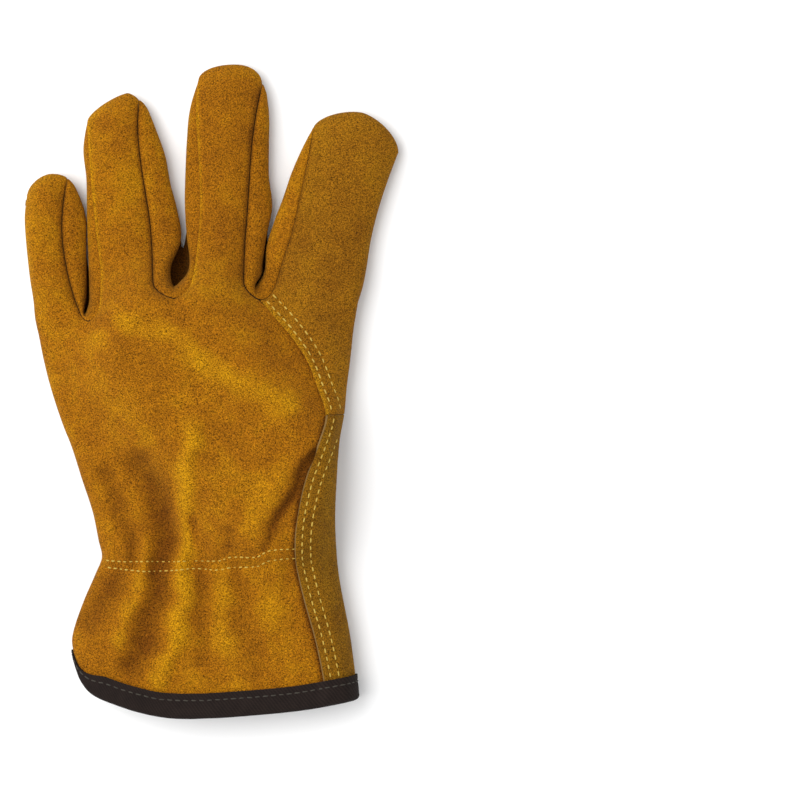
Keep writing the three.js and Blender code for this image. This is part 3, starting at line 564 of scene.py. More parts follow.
    def lap_lift(self, across: Array, up: Array) -> Array:
        """How far a lapping piece lies above the back: a wall and a gap over the underlap, then falling."""
        cover = self.cover(up)
        start = self.cover_full * cover
        end = np.maximum(np.minimum(self.past_lap(1, up), cover + self.lap_fall), start + 1e-6)
        fade = 1 - smooth(start, end, self.past_lap(across, up))
        full = self.leather.wall + self.leather.lap_gap
        return full * fade * (1 - smooth(self.lap_start, 1, up))


Edge = Callable[[Array], Array]


class Side(NamedTuple):
    """One long side of a finger: its seam, and its outline where the side is sewn."""

    seam: Edge
    edge: Optional[Edge]


@dataclass
class Finger:
    """A finger's plan and heights. Its frame starts midway between its two roots."""

    hand: Hand
    rows: Sequence[FingerRow]
    start: float                 # its roots, across the hand
    right_root: float
    length: float
    width: float
    lean: float
    left_corner: float
    right_corner: float
    apex: float
    round_power: float
    short_by: float = 0
    web_width: float = 0.8
    palm_blend: float = 0.2      # shares of the way from the roots over which the finger takes its own
    bow_blend: float = 0.25      # palm seam, straight run, section, depth and rolled seams
    section_blend: float = 0.32
    depth_blend: float = 0.4
    roll_blend: float = 0.1
    close_from: float = 0.94     # where the sewn sides start to close at the tip
    roll_to: float = 0.94        # where the seams' roll starts to fade
    tip_turn: float = 0.88       # where the painted highlight starts as the tip turns down
    side_turn: float = 0.7       # the same across, towards a wrapped side
    corner_from: float = 0.97    # where the leather starts to thin, along and across, at the tip's corners
    corner_side: float = 0.85
    web_round: float = 1.3       # how far a seam bows away from its web, to run round it
    web_round_at: float = 0.03
    tip_from: float = 0.7
    palm_seam_out: float = 0.3
    sewn: float = 0.62           # height of a sewn side, as a share of the section's
    side_round: float = 2.6
    back_rise: float = 7.6
    palm_drop: float = 5.6
    left_pull: float = 1         # how hard its left seam is drawn down
    left_tone: float = -0.9      # painted shade in its left seam below 0, painted highlight on it above 0, where it stands as a ridge
    # painted shade in its right seam
    right_tone: float = -0.8
    strip_tone: float = -0.9     # the same for the strip's side of the left seam
    web_edge: float = 0.08       # below this every sewn edge is painted dark, as shade near the web
    left_gap: float = 0.3
    right_gap: float = 0.16
    lightness: float = 0         # how light the nap of the whole finger is

    def __post_init__(self) -> None:
        """Works out the finger's frame and its two sides."""
        lean = math.radians(self.lean)
        self.end = self.right_root - self.short_by
        self.aim = np.array([math.sin(lean), math.cos(lean)])
        self.side = np.array([self.aim[1], -self.aim[0]])
        self.root_left, self.root_right = self.hand.roots(self.start), self.hand.roots(self.end)
        self.centre = (self.root_left + self.hand.roots(self.right_root)) / 2
        self.left = self._side("left", self.root_left, self.start, self.left_corner, 1)
        self.right = self._side("right", self.root_right, self.end, self.right_corner, -1)
        self.has_left = self.left.edge is not None
        self.has_right = self.right.edge is not None

    def _side(self, name: str, root: Array, across: float, corner: float, inward: int) -> Side:
        """One side, from its columns of the table: a seam and an outline, or the outline alone.

        Args:
            name: left or right.
            root: where the seam starts, in the plan.
            across: where it starts, across the hand.
            corner: where it ends, as a share of the length.
            inward: 1 on the left, -1 on the right.

        Returns:
            The side.
        """
        if getattr(self.rows[0], f"{name}_seam") is None:
            return Side(self._edge(root, f"{name}_edge", corner), None)
        floor = self.web_floor(across) + np.array([inward * self.web_width / 2, 0])
        return Side(self._edge(root, f"{name}_seam", corner), self._edge(floor, f"{name}_edge", corner))

    def web_floor(self, across: float) -> Array:
        """The floor of the gap beside a web, in the plan."""
        web = min(WEBS, key=lambda row: abs(row.across - across))
        return self.hand.roots(web.across) + self.hand.palm_width * np.array([web.aside, web.ahead])

    def _edge(self, root: Array, key: str, corner: float) -> Edge:
        """One long edge.

        Args:
            root: where it starts, in the plan.
            key: its column of the table.
            corner: where it ends, as a share of the length.

        Returns:
            The edge's points as a function of t, the share of the way.
        """
        d = root - self.centre
        along, across = d @ self.aim / self.length, d @ self.side / self.width
        run = Curve([0] + [row.along for row in self.rows],
                    [across] + [getattr(row, key) for row in self.rows])
        bow = self.web_round * {"left_seam": 1, "right_seam": -1}.get(key, 0)

        def at(t: Array) -> Array:
            """centre + aim (length of the way) + side (width share + bow k e^(1 - k)), for each t."""
            ahead = lerp(along, corner, t)[..., None] * self.length * self.aim
            k = t / self.web_round_at
            aside = run(t) * self.width + bow * k * np.exp(1 - k)
            return self.centre + ahead + aside[..., None] * self.side

        return at

    def outline(self, side: Side, t: Array) -> Array:
        """The outer edge of the side's strip, closing on its seam in a quarter round at the tip."""
        seam = side.seam(t)
        return lerp(seam, side.edge(t), round_end(t, self.close_from)[..., None])

    def palm_seam(self, side: Side, t: Array) -> Array:
        """The palm's seam, a share of the way out from the back's."""
        if side.edge is None:
            return side.seam(t)
        out = (self.palm_seam_out * smooth(0, self.palm_blend, t))[..., None]
        return lerp(side.seam(t), self.outline(side, t), out)

    def trimmed(self, side: Side, t: Array, face: Face) -> Array:
        """A panel's edge, half a gap short of its seam and away from the outline."""
        seam = self.palm_seam(side, t) if face is Face.PALM else side.seam(t)
        if side.edge is None:
            return seam
        away = unit(side.edge(t) - seam) * np.where(t > 0, 1, 0)[..., None]
        return seam - away * self.seam_gap(side) / 2

    def seam_gap(self, side: Side) -> float:
        """The gap between the two pieces of a seam; below 0 they meet."""
        return self.left_gap if side is self.left else self.right_gap

    def panel_plan(self, t: Array, q: Array, face: Face) -> Array:
        """Plan of a panel: t from root to tip, q from its left edge (-1) to its right (1).

        Args:
            t: column of shares of the way to the tip.
            q: row of places across.
            face: which side of the glove the panel makes.

        Returns:
            A straight run between the two edges, plus the bow of the finger roots fading over the
            bow's blend, plus the tip's arch, whose reach grows as t times its smooth step.
        """
        a, b = self.trimmed(self.left, t, face), self.trimmed(self.right, t, face)
        s = (q + 1) / 2
        roots = self.hand.roots(lerp(self.start, self.end, s))
        bow = roots - lerp(self.root_left, self.root_right, s[..., None])
        body = lerp(a, b, s[..., None]) + bow * (1 - smooth(0, self.bow_blend, t))[..., None]
        left = q < self.apex
        from_apex = np.where(left, (self.apex - q) / (1 + self.apex), (q - self.apex) / (1 - self.apex))
        corner = np.where(left, self.left_corner, self.right_corner)
        reach = lerp(corner, 1, round_over(from_apex, self.round_power))
        chord = lerp(self.left_corner, self.right_corner, s)
        grow = ((reach - chord) * smooth(0, 1, t) * t)[..., None]
        return body + grow * self.length * self.aim

    def is_sewn(self, q: Array) -> Array:
        """Whether the side that a place lies towards is sewn."""
        return np.where(q < 0, self.has_left, self.has_right)

    def section(self, q: Array) -> Array:
        """Share of the full height across: rounded to nothing at a wrapped side, sewn high at a seam."""
        return np.where(self.is_sewn(q), 1 - (1 - self.sewn) * q * q, round_over(q, self.side_round))

    def drop(self, t: Array) -> Array:
        """Depth of the palm's side below the side seam."""
        return lerp(self.hand.palm_drop, self.palm_drop, smooth(0, self.depth_blend, t))

    def side_height(self, t: Array, point: Array) -> Array:
        """Height of the side seam."""
        return self.hand.lift(point) + self.drop(t)

    def height(self, t: Array, q: Array, face: Face, point: Array) -> Array:
        """Height of a panel: side height plus rise, or minus drop, times section and tip roundness."""
        across = lerp(self.start, self.end, (q + 1) / 2)
        w = smooth(0, self.section_blend, t)
        root = self.hand.profile(across)
        shape = lerp(root, self.section(q), w) * round_end(t, self.tip_from)
        base = self.side_height(t, point)
        if face is Face.PALM:
            return base - self.drop(t) * shape
        sink = (1 - w) * root * self.hand.web_sink(self.hand.roots(across))
        rise = lerp(self.hand.back_rise, self.back_rise, smooth(0, self.depth_blend, t))
        return base + (rise + self.hand.softness(point)) * shape - sink

    def seam_shape(self, t: Array, q: Array, face: Face) -> Array:
        """How near a sewn edge is: a quarter turn of k, with k 1 on the edge and 0 at the roll's reach.

        The distance from the edge is (1 - |q|) half widths, and the shape fades in from the web.
        """
        leather = self.hand.leather
        span = np.linalg.norm(self.trimmed(self.left, t, face) - self.trimmed(self.right, t, face), axis=-1)
        k = closeness((1 - np.abs(q)) * span / 2, leather.roll_reach)
        return quarter_turn(k) * self.is_sewn(q) * smooth(0, self.roll_blend, t)

    def seam_roll(self, t: Array, q: Array, face: Face) -> Array:
        """How far the surface turns down beside a sewn edge; a raised seam turns up."""
        pull = self.hand.leather.roll * np.where(q < 0, self.left_pull, 1)
        return pull * self.seam_shape(t, q, face)

    def seam_tone(self, t: Array, q: Array, face: Face) -> Array:
        """Painted shade beside a sewn edge and on the edge itself, and painted highlight along a raised seam.
        """
        tone = np.where(q < 0, self.left_tone, self.right_tone) * self.seam_shape(t, q, face) ** NAP_AND_SHADING.sharpness
        edge = (np.abs(q) == 1) & self.is_sewn(q)
        return np.where(edge & ((q > 0) | (t < self.web_edge) | (self.left_tone < 0)), self.right_tone, tone)

    def turned(self, t: Array, q: Array) -> Array:
        """How far the leather has turned down, at the tip or to a wrapped side, from 0 to 1; it places the
        painted highlight there.
        """
        aside = smooth(self.side_turn, 1, np.abs(q)) * ~self.is_sewn(q) * smooth(*NAP_AND_SHADING.side_blend, t)
        return np.maximum(smooth(self.tip_turn, 1, t), aside)

    def corner(self, t: Array, q: Array) -> Array:
        """How near a corner of the fingertip is: 1 on it and 0 away from it."""
        return smooth(self.corner_from, 1, t) * smooth(self.corner_side, 1, np.abs(q))


# Sheets of leather


def split(a: Array, b: Array, c: Array, d: Array) -> Array:
    """The two triangles abc and acd of each of many quads."""
    return np.concatenate([np.stack(corners, -1).reshape(-1, 3) for corners in ((a, b, c), (a, c, d))])


def used_points(triangles: Array, count: int) -> Pair:
    """Which of count points the triangles that aren't slivers use, and those triangles, renumbered."""
    a, b, c = triangles.T
    triangles = triangles[(a != b) & (b != c) & (c != a)]
    used = np.unique(triangles)
    renumber = np.zeros(count, np.int64)
    renumber[used] = np.arange(len(used))
    return used, renumber[triangles]


class Sheet:
    """Patches of grid that share their edges, welded and thickened inwards."""

    lost_above = 0.25            # a level normal that points into the piece by more than this is replaced

    def __init__(self, leather: Leather) -> None:
        """Starts an empty sheet of this leather."""
        self.leather = leather
        self.points: list[Array] = []
        self.marks: list[Array] = []
        self.quads: list[Array] = []
        self.count = 0

    def patch(self, points: Array, level: Values = False, plumb: Values = False,
              wall: Optional[Values] = None, under: bool = False, nap_and_shading: Values = 0.0,
              keep: Optional[Array] = None) -> None:
        """Adds a grid of outer points.

        Args:
            points: rows by columns by xyz.
            level: where the wall is laid off level, at a side seam.
            plumb: where it is laid off straight down, at a sewn edge.
            wall: thickness, where it isn't the leather's own.
            under: whether the outside is the grid's lower side.
            nap_and_shading: how much lighter or darker the suede is painted, for the lie of its nap and as
                painted highlight and shade, 0 for plain.
            keep: which cells are made, all of them if not given.
        """
        rows, columns = points.shape[:2]
        shape = (rows, columns)
        thick = self.leather.wall if wall is None else wall
        marks = np.stack([np.broadcast_to(m, shape).astype(float) for m in (level, plumb, thick, nap_and_shading)], -1)
        index = self.count + np.arange(rows * columns).reshape(shape)
        quads = np.stack([index[:-1, :-1], index[:-1, 1:], index[1:, 1:], index[1:, :-1]], -1)
        if keep is not None:
            quads = quads[keep]
        quads = quads.reshape(-1, 4)
        self.points.append(points.reshape(-1, 3))
        self.marks.append(marks.reshape(-1, 4))
        self.quads.append(quads[:, ::-1] if under else quads)
        self.count += rows * columns

    def weld(self) -> tuple[Array, Array, Array]:
        """The points with doubles merged, their marks, and the triangles that aren't slivers."""
        points, marks = np.concatenate(self.points), np.concatenate(self.marks)
        quads = np.concatenate(self.quads)
        _, first, found = np.unique(np.round(points * 1000).astype(np.int64), axis=0,
                                    return_index=True, return_inverse=True)
        used, triangles = used_points(found.ravel()[split(*quads.T)], len(first))
        return points[first][used], marks[first][used], triangles

    def normals(self, points: Array, triangles: Array, level: Array, plumb: Array) -> Array:
        """Normals weighted by area, laid level or plumb where marked.

        Args:
            points: the sheet's points.
            triangles: its triangles.
            level: above 0 where a normal is laid level. One that this leaves pointing into the sheet
                is turned away from its neighbours.
            plumb: above 0 where it is laid straight up or down.

        Returns:
            A normal for each point.
        """
        a, b, c = (points[triangles[:, k]] for k in range(3))
        area = np.cross(b - a, c - a)
        normals, inward = np.zeros_like(points), np.zeros_like(points)
        for k in range(3):
            corner = triangles[:, k]
            np.add.at(normals, corner, area)
            for other in (k - 1, k - 2):
                np.add.at(inward, corner, unit(points[triangles[:, other]] - points[corner]))
        flat, inward = unit(normals * (1, 1, 0)), unit(inward * (1, 1, 0))
        lost = (flat * inward).sum(-1, keepdims=True) > self.lost_above
        normals = np.where(level[:, None] > 0, np.where(lost, -inward, flat), normals)
        normals[plumb > 0, :2] = 0
        return unit(normals)

    def solid(self) -> tuple[Array, Array, Array, Array]:
        """The closed wall.

        Returns:
            Points, triangles, which triangles are cut edge, and the nap and painted shading of each point.
            The inner surface is the outer one moved a wall's thickness against its normals, and the cut edge
            between them swells outwards by a share of the wall.
        """
        points, marks, triangles = self.weld()
        level, plumb, thick, nap_and_shading = marks.T
        normals = self.normals(points, triangles, level, plumb)
        inner = points - normals * thick[:, None]
        n = len(points)
        edges = np.concatenate([triangles[:, [0, 1]], triangles[:, [1, 2]], triangles[:, [2, 0]]])
        there = edges[:, 0] * n + edges[:, 1]
        back = edges[:, 1] * n + edges[:, 0]
        free = edges[~np.isin(there, back)]
        rim = np.unique(free)
        outward = np.zeros_like(points)
        away = np.cross(points[free[:, 1]] - points[free[:, 0]], normals[free[:, 0]])
        for k in range(2):
            np.add.at(outward, free[:, k], away)
        middle = (points[rim] + inner[rim]) / 2
        middle += unit(outward[rim]) * (thick[rim] * self.leather.rim_bulge)[:, None]
        to_middle = np.zeros(n, np.int64)
        to_middle[rim] = 2 * n + np.arange(len(rim))
        p, q = free.T
        mp, mq = to_middle[p], to_middle[q]
        faces = np.concatenate([triangles, triangles[:, ::-1] + n, split(q, p, mp, mq),
                                split(mq, mp, p + n, q + n)])
        cut = np.zeros(len(faces), bool)
        cut[2 * len(triangles):] = True
        return (np.concatenate([points, inner, middle]), faces, cut,
                np.concatenate([nap_and_shading, nap_and_shading, nap_and_shading[rim]]))

    def build(self, name: str, shift: Array) -> Piece:
        """Makes the wall's object."""
        points, triangles, cut, nap_and_shading = self.solid()
        return make_object(name, points, triangles, shift, cut=cut, nap_and_shading=nap_and_shading)


def make_object(name: str, points: Array, triangles: Array, shift: Array,
                cut: Optional[Array] = None, nap_and_shading: Optional[Array] = None,
                uv: Optional[Array] = None, sharp: float = 50) -> Piece:
    """Makes a mesh object in the frame, in metres.

    Args:
        name: the object's name.
        points: its vertices in the glove's plan, in millimetres.
        triangles: its faces.
        shift: from the plan to the frame, in millimetres.
        cut: faces that take the second material.
        nap_and_shading: the lie of the nap and the painted highlight and shade at each vertex, kept as the
            attribute nap_and_shading.
        uv: a pair for each vertex, kept as the UV map.
        sharp: edges that turn by more than this many degrees stay sharp.

    Returns:
        The object, at the origin, with its place in its mesh.
    """
    mesh = bpy.data.meshes.new(name)
    mesh.vertices.add(len(points))
    mesh.vertices.foreach_set("co", ((points + shift) * MM).astype(np.float32).ravel())
    mesh.loops.add(triangles.size)
    mesh.loops.foreach_set("vertex_index", triangles.astype(np.int32).ravel())
    mesh.polygons.add(len(triangles))
    mesh.polygons.foreach_set("loop_start", np.arange(0, triangles.size, 3, dtype=np.int32))
    mesh.polygons.foreach_set("use_smooth", np.ones(len(triangles), bool))
    if cut is not None:
        mesh.polygons.foreach_set("material_index", cut.astype(np.int32))
    mesh.update(calc_edges=True)
    if nap_and_shading is not None:
        layer = mesh.attributes.new("nap_and_shading", "FLOAT", "POINT")
        layer.data.foreach_set("value", nap_and_shading.astype(np.float32))
    if uv is not None:
        layer = mesh.uv_layers.new(name="UVMap")
        layer.data.foreach_set("uv", uv[triangles.ravel()].astype(np.float32).ravel())
    mesh.validate()
    mesh.set_sharp_from_angle(angle=math.radians(sharp))
    obj = bpy.data.objects.new(name, mesh)
    bpy.context.scene.collection.objects.link(obj)
    return obj


# Grids


def both_ends(cells: int) -> Array:
    """Places from -1 to 1 that crowd towards both ends: -cos(pi k / cells)."""
    return -np.cos(np.pi * np.arange(cells + 1) / cells)


def crowd_ends(cells: int) -> Array:
    """The same from 0 to 1."""
    return (both_ends(cells) + 1) / 2


def crowd_high(cells: int) -> Array:
    """Places from 0 to 1 that crowd towards 1: sin(pi k / 2 cells)."""
    return np.sin(np.pi / 2 * np.arange(cells + 1) / cells)


def even(cells: int) -> Array:
    """Places from 0 to 1, evenly."""
    return np.arange(cells + 1) / cells


def finger_ts(cells: int) -> Array:
    """Shares of the way along a finger, even to four fifths and then crowding to the tip."""
    return np.concatenate([0.8 * even(cells), 0.8 + 0.2 * crowd_high(max(10, cells // 3))[1:]])


# The pieces


class Glove:
    """The sizes that all pieces share: the hand, its fingers, and the plan's place in the frame."""

    def __init__(self) -> None:
        """Sets up the hand and the four fingers."""
        self.leather = Leather()
        self.thumb = Thumb()
        self.hand = hand = Hand(self.leather, self.thumb)
        first, second, third = (web.across for web in WEBS)
        # ring and middle: the left seam stands as a ridge, with painted highlight on it and painted shade on
        # the strip beside it
        soft = {"left_pull": -0.4, "left_tone": 1.1, "strip_tone": -0.5, "left_gap": -0.1}
        self.little = Finger(hand, LITTLE_ROWS, 0, first, length=59.5, width=22.5, lean=-5, left_corner=0.87,
                             right_corner=0.96, apex=0.2, round_power=1.7, lightness=0.22)
        self.ring = Finger(hand, RING_ROWS, first, second, length=83.5, width=32, lean=-2.8,
                           left_corner=0.885, right_corner=0.965, apex=0.6, round_power=1.35, **soft)
        self.middle = Finger(hand, MIDDLE_ROWS, second, third, length=90.5, width=31, lean=3,
                             left_corner=0.925, right_corner=0.925, apex=0.23, round_power=2,
                             lightness=-0.1, **soft)
        self.middle_back = replace(self.middle, short_by=hand.lap_open)
        self.index = Finger(hand, INDEX_ROWS, third, 1, length=75.2, width=37, lean=13.6, left_corner=0.87,
                            right_corner=0.843, apex=0, round_power=1.6, left_pull=0.5, left_tone=-0.5,
                            strip_tone=-0.3, left_gap=0.05, lightness=-0.12)
        self.shift = np.zeros(3)

    def seat(self, points: Array) -> None:
        """Finds the plan's place in the frame, from the palm's middle and the thumb's underside.

        Args:
            points: the palm panel's vertices in the plan.
        """
        low, high = (np.array(corner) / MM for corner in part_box("palm_panel"))
        self.shift = (low + high - points.min(0) - points.max(0)) / 2
        self.shift[2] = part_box("thumb_front")[0].z / MM

    def hand_ups(self) -> Array:
        """Rows of the hand, about CELL apart, with rows where the lap changes."""
        marks = [0, self.hand.short_seam, self.hand.lap_start, 1]
        runs = [lerp(a, b, even(max(6, round((b - a) * self.hand.length / CELL))))
                for a, b in zip(marks, marks[1:])]
        return np.unique(np.concatenate(runs).round(9))

    def finger_panel(self, sheet: Sheet, finger: Finger, q: Array, face: Face) -> None:
        """Adds one panel of a finger.

        Args:
            sheet: the sheet it is part of.
            finger: the finger.
            q: the panel's columns, from its left edge (-1) to its right (1).
            face: which side of the glove it makes.
        """
        t, q = finger_ts(round(finger.length / CELL))[:, None], q[None, :]
        plan = finger.panel_plan(t, q, face)
        sign = -1 if face is Face.PALM else 1
        level = (t == 1) | ((np.abs(q) == 1) & ~finger.is_sewn(q))
        folded = (q == 1) & (finger is self.index)
        fade = 1 - smooth(finger.roll_to, 1, t)
        z = finger.height(t, q, face, plan) - sign * finger.seam_roll(t, q, face) * fade
        z = z + sign * (level & ~folded) * self.leather.seam_gap / 2
        # painted shade and highlight at the seams, the finger's own lightness, and painted highlight where it
        # turns down
        nap_and_shading = (finger.seam_tone(t, q, face) * fade + finger.lightness * smooth(0, NAP_AND_SHADING.light_to, t)
               + NAP_AND_SHADING.turned * finger.turned(t, q))
        wall = self.leather.wall * (1 - self.leather.corner_taper * finger.corner(t, q))
        sheet.patch(raised(plan, z), level=level, plumb=~level & (np.abs(q) == 1),
                    under=face is Face.PALM, nap_and_shading=nap_and_shading, wall=wall)

    def hand_patch(self, sheet: Sheet, up: Array, across: Array, face: Face,
                   lapping: bool = False, keep: Optional[Array] = None) -> Array:
        """Adds a patch of the hand.

        Args:
            sheet: the sheet it is part of.
            up: column of shares of the length.
            across: places across, for each row or the same in all.
            face: which side of the glove it makes.
            lapping: whether it lies over the back below it.
            keep: which cells are made.

        Returns:
            The patch's points.
        """
        hand = self.hand
        up, across = np.broadcast_arrays(up, across)
        plan = hand.plan(across, up)
        level = across == 0
        gap = level * self.leather.seam_gap / 2
        if face is Face.PALM:
            z = hand.palm(across, up) - gap
            nap_and_shading = 0.0
        elif lapping:
            z = self.lapping_height(across, up) + gap
            at_edge = bell(np.maximum(self.lap_distance(across, up), 0), NAP_AND_SHADING.edge_reach)
            # the folds' painted highlight and shade, weaker here, and a lighter band along the wrapped
            # piece's edge
            nap_and_shading = (hand.folds(plan, "tone", NAP_AND_SHADING.fold_spread) * NAP_AND_SHADING.lapped_folds
                   + NAP_AND_SHADING.wrap_edge * (up >= hand.short_seam) * at_edge)
        else:
            z = self.back_height(across, up) + gap
            # painted shadow that the side strip and the wrapped piece cast on the back beside them, with the
            # folds' painted highlight and shade
            lap_shadow = bell(np.minimum(self.lap_distance(across, up), 0), NAP_AND_SHADING.shadow_reach) * (across > 0.5)
            nap_and_shading = (hand.folds(plan, "tone", NAP_AND_SHADING.fold_spread)
                   + np.where(up < hand.short_seam, NAP_AND_SHADING.strip_shadow, NAP_AND_SHADING.wrap_shadow) * lap_shadow)
        points = raised(plan, z)
        sheet.patch(points, level=level, under=face is Face.PALM, nap_and_shading=nap_and_shading, keep=keep)
        return points

    def lap_distance(self, across: Array, up: Array) -> Array:
        """Distance into the lapping piece, square to its edge: that across times its slope's cosine."""
        run = self.hand.lap_run(up)
        return self.hand.past_lap(across, up) * (np.abs(run[..., 1]) / np.linalg.norm(run, axis=-1))

    def seam_dent(self, across: Array, up: Array) -> Array:
        """How far a lapping piece is drawn down: a bell curve at each stitch row and at its edge."""
        d = self.lap_distance(across, up)
        strip = up < self.hand.short_seam
        rows = sum(bell(d - np.where(strip, low, high), DENT_REACH)
                   for low, high in zip(STRIP_ROWS, WRAP_ROWS))
        return (LAP_DENT * rows + EDGE_DENT * bell(np.maximum(d, 0), EDGE_REACH)) * (d > -1)

    def lapping_height(self, across: Array, up: Array) -> Array:
        """Height of a lapping piece: the back's, the lap's lift, less the dents of its stitches."""
        return self.hand.back(across, up) + self.hand.lap_lift(across, up) - self.seam_dent(across, up)

    def back_height(self, across: Array, up: Array) -> Array:
        """Height of the back, less the dents of the elastic rows, which fade with its profile."""
        dent = self.elastic_dent(self.hand.plan(across, up))
        return self.hand.back(across, up) - dent * self.hand.profile(across)

    def elastic_line(self, name: str, x: Array) -> Array:
        """How far up the plan an elastic row lies, at places x."""
        return self.hand.length * Curve.through(ELASTIC_ROWS, "across", name)(x / self.hand.palm_width)

    def elastic_dent(self, plan: Array) -> Array:
        """How far the back is drawn down at each elastic row: a bell curve across the row."""
        x, y = plan[..., 0], plan[..., 1]
        return ELASTIC_DENT * sum(bell(y - self.elastic_line(name, x), DENT_REACH) for name in ELASTIC_NAMES)


@dataclass
class BackPanel:
    """Back of the hand with the backs of three fingers, running on under the lapped seam."""

    glove: Glove
    columns: int = 26
    underlap_columns: int = 6

    def build(self) -> Piece:
        """Makes the panel's mesh."""
        g, hand = self.glove, self.glove.hand
        sheet = Sheet(g.leather)
        for finger in (g.little, g.ring, g.middle_back):
            g.finger_panel(sheet, finger, both_ends(self.columns), Face.BACK)
        ups, s = g.hand_ups()[:, None], crowd_ends(self.columns)
        for finger in (g.little, g.ring):
            g.hand_patch(sheet, ups, lerp(finger.start, finger.end, s), Face.BACK)
        edge = hand.lap(ups) - np.where(ups >= hand.lap_start, hand.lap_open, 0)
        g.hand_patch(sheet, ups, lerp(g.middle.start, edge, s), Face.BACK)
        under = ups[:, 0] <= hand.lap_start
        cover = np.where(ups >= hand.lap_start, 0, hand.cover(ups) / hand.width_at(ups))
        g.hand_patch(sheet, ups[under], (edge + cover * even(self.underlap_columns))[under], Face.BACK)
        return sheet.build("glove_back", g.shift)


@dataclass
class PalmPanel:
    """Palm with the undersides of the fingers, folded round the thumb side to make the back of the index."""

    glove: Glove
    columns: int = 22
    top_columns: int = 32        # where it makes the back of the index finger and the lapping piece
    fold_columns: int = 8
    hole_rings: int = 9
    hole_margin: float = 1.6

    def sheet(self) -> Sheet:
        """Makes the panel's sheet, still in the plan."""
        g, hand = self.glove, self.glove.hand
        sheet = Sheet(g.leather)
        s = crowd_ends(self.columns)
        for finger in (g.little, g.ring, g.middle):
            g.finger_panel(sheet, finger, both_ends(self.columns), Face.PALM)
        fold = 2 * (hand.strip_seam(1.0) - g.index.start) / (1 - g.index.start) - 1
        folding = lerp(-1, fold, s)
        turning = lerp(fold, 1, crowd_high(self.fold_columns))
        g.finger_panel(sheet, g.index, np.concatenate([folding, turning[1:]]), Face.PALM)
        g.finger_panel(sheet, g.index, both_ends(self.top_columns), Face.BACK)
        ups = g.hand_ups()[:, None]
        trim = np.where(ups < hand.short_seam, g.leather.seam_gap / hand.width_at(ups), 0)
        runs = [lerp(f.start, f.end, s) + 0 * ups for f in (g.little, g.ring, g.middle)]
        runs.append(lerp(g.index.start, hand.strip_seam(ups) - trim, s))
        across = np.concatenate([runs[0]] + [run[:, 1:] for run in runs[1:]], axis=1)
        self.palm_with_hole(sheet, ups, across)
        wrap = ups[ups[:, 0] >= hand.short_seam]
        g.hand_patch(sheet, wrap, lerp(hand.strip_seam(wrap), 1, crowd_high(self.fold_columns)), Face.PALM)
        top = crowd_ends(self.top_columns)
        g.hand_patch(sheet, wrap, lerp(hand.lap(wrap), 1, top), Face.BACK, lapping=True)
        return sheet

    def palm_with_hole(self, sheet: Sheet, ups: Array, across: Array) -> None:
        """Adds the palm of the hand, with rings of cells round the thumb's hole.

        The cells near the hole are left out, and each point B of the border that they leave is joined
        to the point C + (B - C) / sqrt(e) of the hole's ellipse, with e the ellipse's own measure of B.

        Args:
            sheet: the sheet it is part of.
            ups: rows of the hand.
            across: places across, for each row.
        """
        g, hand, thumb = self.glove, self.glove.hand, self.glove.thumb
        plan = hand.plan(across, np.broadcast_to(ups, across.shape))
        centre = hand.hole_centre
        radii = np.array([thumb.hole_length, thumb.hole_width]) / 2

        def measure(point: Array, grow: float = 0) -> Array:
            """(along / half length)^2 + (aside / half width)^2, 1 on the hole's edge."""
            d = point - centre
            return ((d @ thumb.aim) / (radii[0] + grow)) ** 2 + ((d @ thumb.side) / (radii[1] + grow)) ** 2

        rows, columns = np.nonzero(measure(plan, self.hole_margin) < 1)
        i0, i1 = rows.min() - 1, rows.max() + 1
        j0, j1 = columns.min() - 1, min(columns.max() + 1, plan.shape[1] - 1)
        keep = np.ones((plan.shape[0] - 1, plan.shape[1] - 1), bool)
        keep[i0:i1, j0:j1] = False
        points = g.hand_patch(sheet, ups, across, Face.PALM, keep=keep)
        border = np.concatenate([points[i0, j0:j1], points[i0:i1, j1], points[i1, j1:j0:-1],
                                 points[i1:i0:-1, j0], points[i0, j0:j0 + 1]])
        rim = centre + (border[:, :2] - centre) / np.sqrt(measure(border[:, :2]))[:, None]
        rings = lerp(rim, border[:, :2], even(self.hole_rings)[:, None, None])
        z = hand.palm(*hand.place(rings))
        z[-1] = border[:, 2]
        sheet.patch(raised(rings, z))


@dataclass
class SideStrip:
    """The lower thumb side: laps over the back, turns round the side and under the palm."""

    glove: Glove
    columns: int = 26
    fold_columns: int = 8
    top_gap: float = 0.45        # at its upper end, to the wrapped piece

    def build(self) -> Piece:
        """Makes the strip's mesh."""
        g, hand = self.glove, self.glove.hand
        sheet = Sheet(g.leather)
        last = hand.short_seam - self.top_gap / hand.length_at(1.0)
        ups = g.hand_ups()
        ups = np.append(ups[ups < hand.short_seam], last)[:, None]
        top = crowd_ends(self.columns)
        g.hand_patch(sheet, ups, lerp(hand.lap(ups), 1, top), Face.BACK, lapping=True)
        g.hand_patch(sheet, ups, lerp(hand.strip_seam(ups), 1, crowd_high(self.fold_columns)), Face.PALM)
        return sheet.build("glove_side_strip", g.shift)


